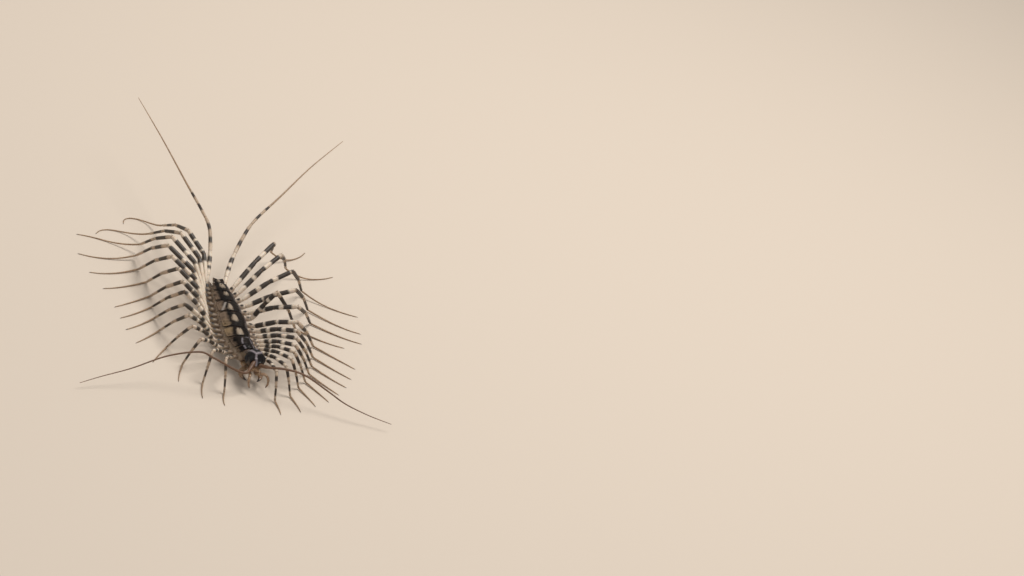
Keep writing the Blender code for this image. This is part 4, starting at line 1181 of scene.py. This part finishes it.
def leg_corners(side, number):
    """The leg's joints, from the root to the heel, and the points of its foot."""
    knee, heel, heading, curl = STANCE[side][number - 1]
    y = LEG_ROOT_Y[number - 1]
    outward = on_body(side, y, 0) - on_body(0, y, 0)
    root = on_body(side * (flank(y) + SOCKET_LENGTH + GAP), y, ROOT_HEIGHT)
    knee = np.array([side * knee[0], knee[1], knee[2]])
    heel = np.array([side * heel[0], heel[1], heel[2]])
    reach = unit((knee - root) * (1, 1, 0))
    follow = at_leg(number, FOLLOW)
    hip = root + COXA_LENGTH * (reach * follow + outward * (1 - follow)) + (0, 0, at_leg(number, COXA_RISE))
    bow = np.array([-side * at_leg(number, BOW[side]), 0, 0.06 * np.linalg.norm(knee - hip)])
    thigh = (hip + knee) / 2 + bow
    ankle = knee + (heel - knee) * 0.55 + (0, 0, 0.05 * np.linalg.norm(heel - knee))
    start = root + outward * 0.35
    corners = [root - outward * 0.45, start, hip, thigh, knee, ankle, heel]
    return corners, foot_points(side, number, heel, heading, curl)


def rounded_line(corners, reaches, spacing):
    """A line with its corners rounded off, and the station number at each of its points."""
    pieces, stations = [corners[0][None]], [np.zeros(1)]
    t = np.linspace(0, 1, 12)
    for k in range(1, len(corners) - 1):
        into = corners[k] + unit(corners[k - 1] - corners[k]) * reaches[k - 1]
        out = corners[k] + unit(corners[k + 1] - corners[k]) * reaches[k - 1]
        shares = np.stack([(1 - t) ** 2, 2 * t * (1 - t), t ** 2], 1)
        pieces.append(shares @ np.stack([into, corners[k], out]))
        stations.append(k + (t - 0.5) * 0.1)
    pieces.append(corners[-1][None])
    stations.append(np.full(1, len(corners) - 1.0))
    rough, rough_stations = np.vstack(pieces), np.concatenate(stations)
    line = evenly(rough, spacing)
    run, whole = run_of(line), run_of(rough)
    return line, np.interp(run * whole[-1] / run[-1], whole, rough_stations)


# %% Leg finish
LEG_STATIONS = (0, 0.5, 0.93, 1.0, 1.1, 1.5, 1.9, 2.0, 2.1, 2.5,
                2.9, 3.0, 3.1, 3.5, 3.9, 4.0, 4.1, 4.6, 4.9, 5.0)
LEG_RADII = (0.38, 0.43, 0.42, 0.33, 0.41, 0.43, 0.41, 0.33, 0.39, 0.385,
             0.39, 0.3, 0.33, 0.31, 0.3, 0.215, 0.24, 0.215, 0.2, 0.17)
USUAL_BARS = ((1.3, 1.6), (1.75, 2.2), (2.45, 2.9), (3.15, 3.72), (4.1, 4.6))
BARS = {
    RIGHT: {
        14: ((1.75, 2.1), (2.16, 2.54), (2.62, 2.88), (3.12, 3.73), (4.2, 4.6)),
        13: ((1.83, 2.27), (2.4, 2.85), (3.28, 3.92), (4.13, 4.67)),
        12: ((1.96, 2.29), (2.44, 2.86), (3.26, 3.89), (4.2, 4.6)),
        11: ((1.92, 2.33), (2.44, 2.96), (3.3, 3.7), (3.89, 4.46)),
        10: ((1.99, 2.21), (2.48, 2.87), (3.17, 3.68), (3.93, 4.52)),
        9: ((2.0, 2.35), (2.5, 2.95), (3.04, 3.56), (4.05, 4.55)),
        8: ((2.03, 2.42), (2.47, 2.93), (3.03, 3.47), (3.94, 4.51)),
        7: ((1.5, 1.8), (2.1, 2.5), (2.92, 3.28), (3.74, 4.11), (4.42, 4.93)),
        6: ((1.6, 1.9), (2.48, 3.02), (3.32, 3.83), (4.14, 4.66)),
    },
    LEFT: {
        14: ((1.3, 1.65), (1.72, 2.23), (2.51, 2.99), (3.2, 3.75), (4.1, 4.6)),
        13: ((1.28, 1.62), (1.74, 2.16), (2.48, 2.92), (3.15, 3.7), (4.1, 4.6)),
        12: ((1.26, 1.54), (1.7, 2.15), (2.37, 2.93), (2.96, 3.99), (4.31, 4.95)),
        11: ((1.25, 1.65), (1.7, 2.2), (2.27, 2.73), (2.98, 3.77), (4.16, 4.94)),
        10: ((1.3, 1.55), (1.67, 2.18), (2.4, 2.8), (3.15, 3.8), (4.3, 4.95)),
        8: ((1.08, 1.47), (1.56, 1.99), (2.08, 2.62), (3.42, 3.73), (4.05, 4.55)),
    },
}
BAR_AND_COXA_COLOURS = {
    LEFT: ((0.024, 0.017, 0.014), (0.40, 0.31, 0.24)),
    RIGHT: ((0.036, 0.027, 0.021), (0.15, 0.10, 0.066)),
}
leg_finishes = {}
for side, (dark, coxa) in BAR_AND_COXA_COLOURS.items():
    ground = Finish("leg_" + SIDE_NAME[side], (0.76, 0.65, 0.53), (0.50, 0.38, 0.27), 0.65, 1.2, 11)
    leg_finishes[side] = (
        ground
        .mark("coxa", coxa, softness=0.5, raggedness=0.9, rags=1.6, strength=0.9)
        .mark("halo", (0.30, 0.225, 0.15), softness=0.15, raggedness=0.25, rags=3, strength=0.85)
        .mark("shin", (0.30, 0.20, 0.12), softness=1.6, raggedness=1.0, rags=1.0, strength=0.7)
        .mark("bar", dark, softness=0.16, raggedness=0.42, rags=2.2, strength=0.96)
        .mark("spot", (0.02, 0.014, 0.012), softness=0.12, raggedness=0.16, rags=4)
        .mark("joint", (0.16, 0.10, 0.06), softness=0.08, raggedness=0.06, strength=0.65)
        .gloss(0.4, relief_mm=0.008, translucence=0.25, specular=0.35))
foot_finish = (
    Finish("foot", (0.38, 0.26, 0.16), (0.20, 0.125, 0.07), drift=0.8, spots=0.8, pits=16)
    .mark("joint", (0.13, 0.08, 0.045), softness=0.5, raggedness=0.1, strength=0.6)
    .gloss(0.4, relief_mm=0.004, translucence=0.3))
claw_finish = Finish("claw", (0.03, 0.016, 0.009), (0.08, 0.04, 0.02), spots=4).gloss(0.2, coat=0.5)

# %% The walking legs
LEG_COUNT = len(LEG_ROOT_Y) + 1
LEG_PART, FOOT_PART = (0.01, 0.6), (0.62, 0.99)
LEG_SPACING, LEG_COLUMNS, RIDGES = 0.1, 20, 5
ROUNDING = (0.1, 0.35, 0.35, 0.5, 0.3)
leg_bristles = {side: Bristles() for side in SIDES}
claws = {side: [] for side in SIDES}


def upper_leg(side, number, corners):
    """The leg from its root to the heel, barred and jointed, with spines on its ridges."""
    line, station = rounded_line(corners, ROUNDING, LEG_SPACING)
    # The line's first corner lies inside the skin's collar, so stations are counted from its second.
    station = np.where(station < 1, 0.0, station - 1) + np.where(station < 1, station * 0.001, 0)
    size = girth(number)
    radii = np.interp(station, LEG_STATIONS, LEG_RADII) * size
    rings = limb_rings(line, radii, LEG_COLUMNS, RIDGES, 0.035)
    run = run_of(line)
    bars = BARS[side].get(number)
    if not bars:
        bars = [(a + rng.uniform(-0.06, 0.06), b + rng.uniform(-0.06, 0.06)) for a, b in USUAL_BARS]
    depth = np.full(len(line), -1.0)
    for first, last in bars:
        start, stop = np.interp((first, last), station, run)
        depth = np.maximum(depth, np.minimum(run - start, stop - run))
    knees = np.interp((1, 2, 3, 4), station, run)
    joint = np.min([np.abs(run - knee) for knee in knees], axis=0)
    ahead, sideways, above = frames_along(line)
    k = int(np.searchsorted(station, 0.6))
    spot = line[k] + above[k] * radii[k]
    values = {
        "bar": depth[:, None],
        "joint": (0.07 - joint)[:, None],
        "spot": (0.36 if side == RIGHT else 0.3) * size - np.linalg.norm(rings - spot, axis=-1),
        "halo": (0.58 if side == RIGHT else 0.3) * size - np.linalg.norm(rings - spot, axis=-1),
        "shin": (run - knees[2])[:, None],
        "coxa": (knees[0] - 0.2 - run)[:, None],
    }
    strip = (number - 1, LEG_COUNT, *LEG_PART)
    for ridge in range(RIDGES):
        turn = (2 * math.pi * ridge - math.pi / 2) / RIDGES
        for place_at in np.arange(knees[0] + 0.2, run[-1], 0.26) + rng.uniform(0, 0.1):
            k = min(int(np.searchsorted(run, place_at)), len(line) - 2)
            out = math.cos(turn) * sideways[k] + math.sin(turn) * above[k]
            leg_bristles[side].stand(line[k] + out * radii[k], out + ahead[k], rng.uniform(0.09, 0.17), 0.8,
                                     on_strip(strip, run[k] / run[-1], ridge / RIDGES))
    for knee in knees[1:]:
        k = int(np.searchsorted(run, knee - 0.14))
        for turn in (0.2, 1.6, 2.9, 4.0, 5.4):
            out = math.cos(turn) * sideways[k] + math.sin(turn) * above[k]
            leg_bristles[side].stand(line[k] + out * radii[k] * 0.9, out * 0.55 + ahead[k], 0.5 * size, 1.7,
                                     on_strip(strip, run[k] / run[-1], turn / (2 * math.pi)))
    mesh = rings_mesh("upper_leg", rings, values)
    mesh.materials.append(leg_finishes[side])
    return mesh, line


def hooked_claw(tip, ahead):
    """The small hooked claw at the end of a foot."""
    hook = ((-0.1, 0.0), (0.1, 0.0), (0.24, 0.04), (0.3, 0.1))
    line = through([tip + ahead * on - (0, 0, down) for on, down in hook], 0.03)
    line[:, 2] = np.maximum(line[:, 2], 0.03)
    fraction = np.linspace(0, 1, len(line))
    mesh = rings_mesh("claw", limb_rings(line, 0.06 - 0.05 * fraction, 8))
    mesh.materials.append(claw_finish)
    return mesh


for side in SIDES:
    for number in range(1, LEG_COUNT):
        corners, foot = leg_corners(side, number)
        upper, line = upper_leg(side, number, corners)
        heel_back = corners[-1] + unit(corners[-2] - corners[-1]) * 0.4
        path = through([heel_back, corners[-1] + unit(foot[0] - corners[-1]) * 0.15] + foot, 0.12)
        thread, thickness = ringed_thread(path, (0, 0.3, 1), (0.165, 0.14, 0.06), 0.3, 0.16, foot_finish, 8)
        name = "leg_%s_%02d" % (SIDE_NAME[side], number)
        add_piece("walking_" + name, join_meshes(name, upper, thread), None, "leg", name)
        strip = (number - 1, LEG_COUNT, *FOOT_PART)
        whiskers(leg_bristles[side], path, thickness, strip, 0.42, 3, 0.13, lean=1.2, first=0.06, last=0.96)
        claws[side].append(hooked_claw(path[-1], unit(path[-1] - path[-4])))
print("walking legs", sum(triangles[-28:]))

# %% [markdown]
# ## The trailing legs
# The last pair is by far the longest and is held up behind like a second pair of feelers. It starts as a
# jointed leg and turns into a ringed thread, so it uses the same two tools.

# %% Trailing legs
TRAILING_LEG = {
    RIGHT: ((-1.2, 11.5, 2.8), (-1.5, 12.5, 3.0), (-0.8, 16.9, 5.0), (-0.7, 21.7, 7.6),
            (-1.9, 25.4, 9.0), (-4.0, 31.5, 10.4), (-6.5, 43.4, 11.5), (-8.9, 57.0, 11.8)),
    LEFT: ((1.2, 11.5, 2.8), (1.6, 12.5, 3.0), (3.0, 16.7, 4.8), (5.6, 22.0, 7.0),
           (8.1, 25.8, 8.5), (13.5, 32.5, 9.9), (21.3, 43.2, 11.0), (30.0, 54.6, 11.4)),
}
TRAILING_JOINTS = (0.045, 0.15, 0.29, 0.42)
TRAILING_BARS = ((0.07, 0.085), (0.1, 0.125), (0.18, 0.205), (0.235, 0.26), (0.32, 0.35), (0.38, 0.405))
for side in SIDES:
    knots = [np.array(point) + (float(middle(TAIL_END)), 0, 0) for point in TRAILING_LEG[side]]
    inward = unit(knots[0] - knots[1])
    line = through(knots, 0.1)
    run = run_of(line)
    split = int(0.42 * len(line))
    upper_line = np.vstack([evenly([knots[0] + inward * 0.9, knots[0]], 0.1)[:-1], line[:split]])
    upper_run = run_of(upper_line) - 0.9
    fraction = upper_run / run[-1]
    radii = np.interp(fraction, (-0.02, 0, 0.03, 0.055, 0.14, 0.28, 0.42),
                      (0.4, 0.38, 0.38, 0.42, 0.36, 0.27, 0.2))
    radii = radii * article_profile(fraction, TRAILING_JOINTS, waist=0.15, cuff=0.06)
    bars = [np.minimum(fraction - a, b - fraction) * run[-1] for a, b in TRAILING_BARS]
    joint = np.min([np.abs(fraction - a) for a in TRAILING_JOINTS], axis=0) * run[-1]
    rings = limb_rings(upper_line, radii, 18, RIDGES, 0.03)
    values = {
        "bar": np.max(bars, axis=0)[:, None] * 0.8,
        "spot": -1.0,
        "halo": -1.0,
        "joint": (0.08 - joint)[:, None],
        "shin": (upper_run - 8)[:, None],
        "coxa": (1.0 - upper_run)[:, None],
    }
    upper = rings_mesh("trailing", rings, values)
    upper.materials.append(leg_finishes[side])
    thread, thickness = ringed_thread(line[split - 4:], (0, 0.1, 0.5, 1), (0.19, 0.16, 0.11, 0.05), 0.34,
                                      0.15, foot_finish)
    name = "leg_%s_15" % SIDE_NAME[side]
    add_piece("trailing_" + name, join_meshes(name, upper, thread), None, "leg", name)
    strip = (LEG_COUNT - 1, LEG_COUNT, 0.01, 0.42)
    whiskers(leg_bristles[side], upper_line, radii, strip, 0.5, 4, 0.2, lean=1.0, first=0.06)
    strip = (LEG_COUNT - 1, LEG_COUNT, 0.43, 0.99)
    whiskers(leg_bristles[side], line[split:], thickness[4:], strip, 0.5, 3, 0.14, lean=1.2, last=0.95)
print("trailing legs", triangles[-2:])

# %% Claws and bristles
for side in SIDES:
    add_piece("claws_" + SIDE_NAME[side], join_meshes("claws", *claws[side]), None, "leg")
    leg_bristles[side].grow("leg_bristles_" + SIDE_NAME[side], bristle_finish, "leg", 0.022, 0.12, 3)
mouth_bristles.grow("mouth_bristles", bristle_finish, "mouthparts", 0.014, 0.2, 5)
feeler_bristles.grow("feeler_bristles", bristle_finish, "feeler", 0.012, 0.15, 6)
print("triangles in all", sum(triangles), "in", len(triangles), "pieces")

# %% Bring the scene up to date
bpy.context.view_layer.update()
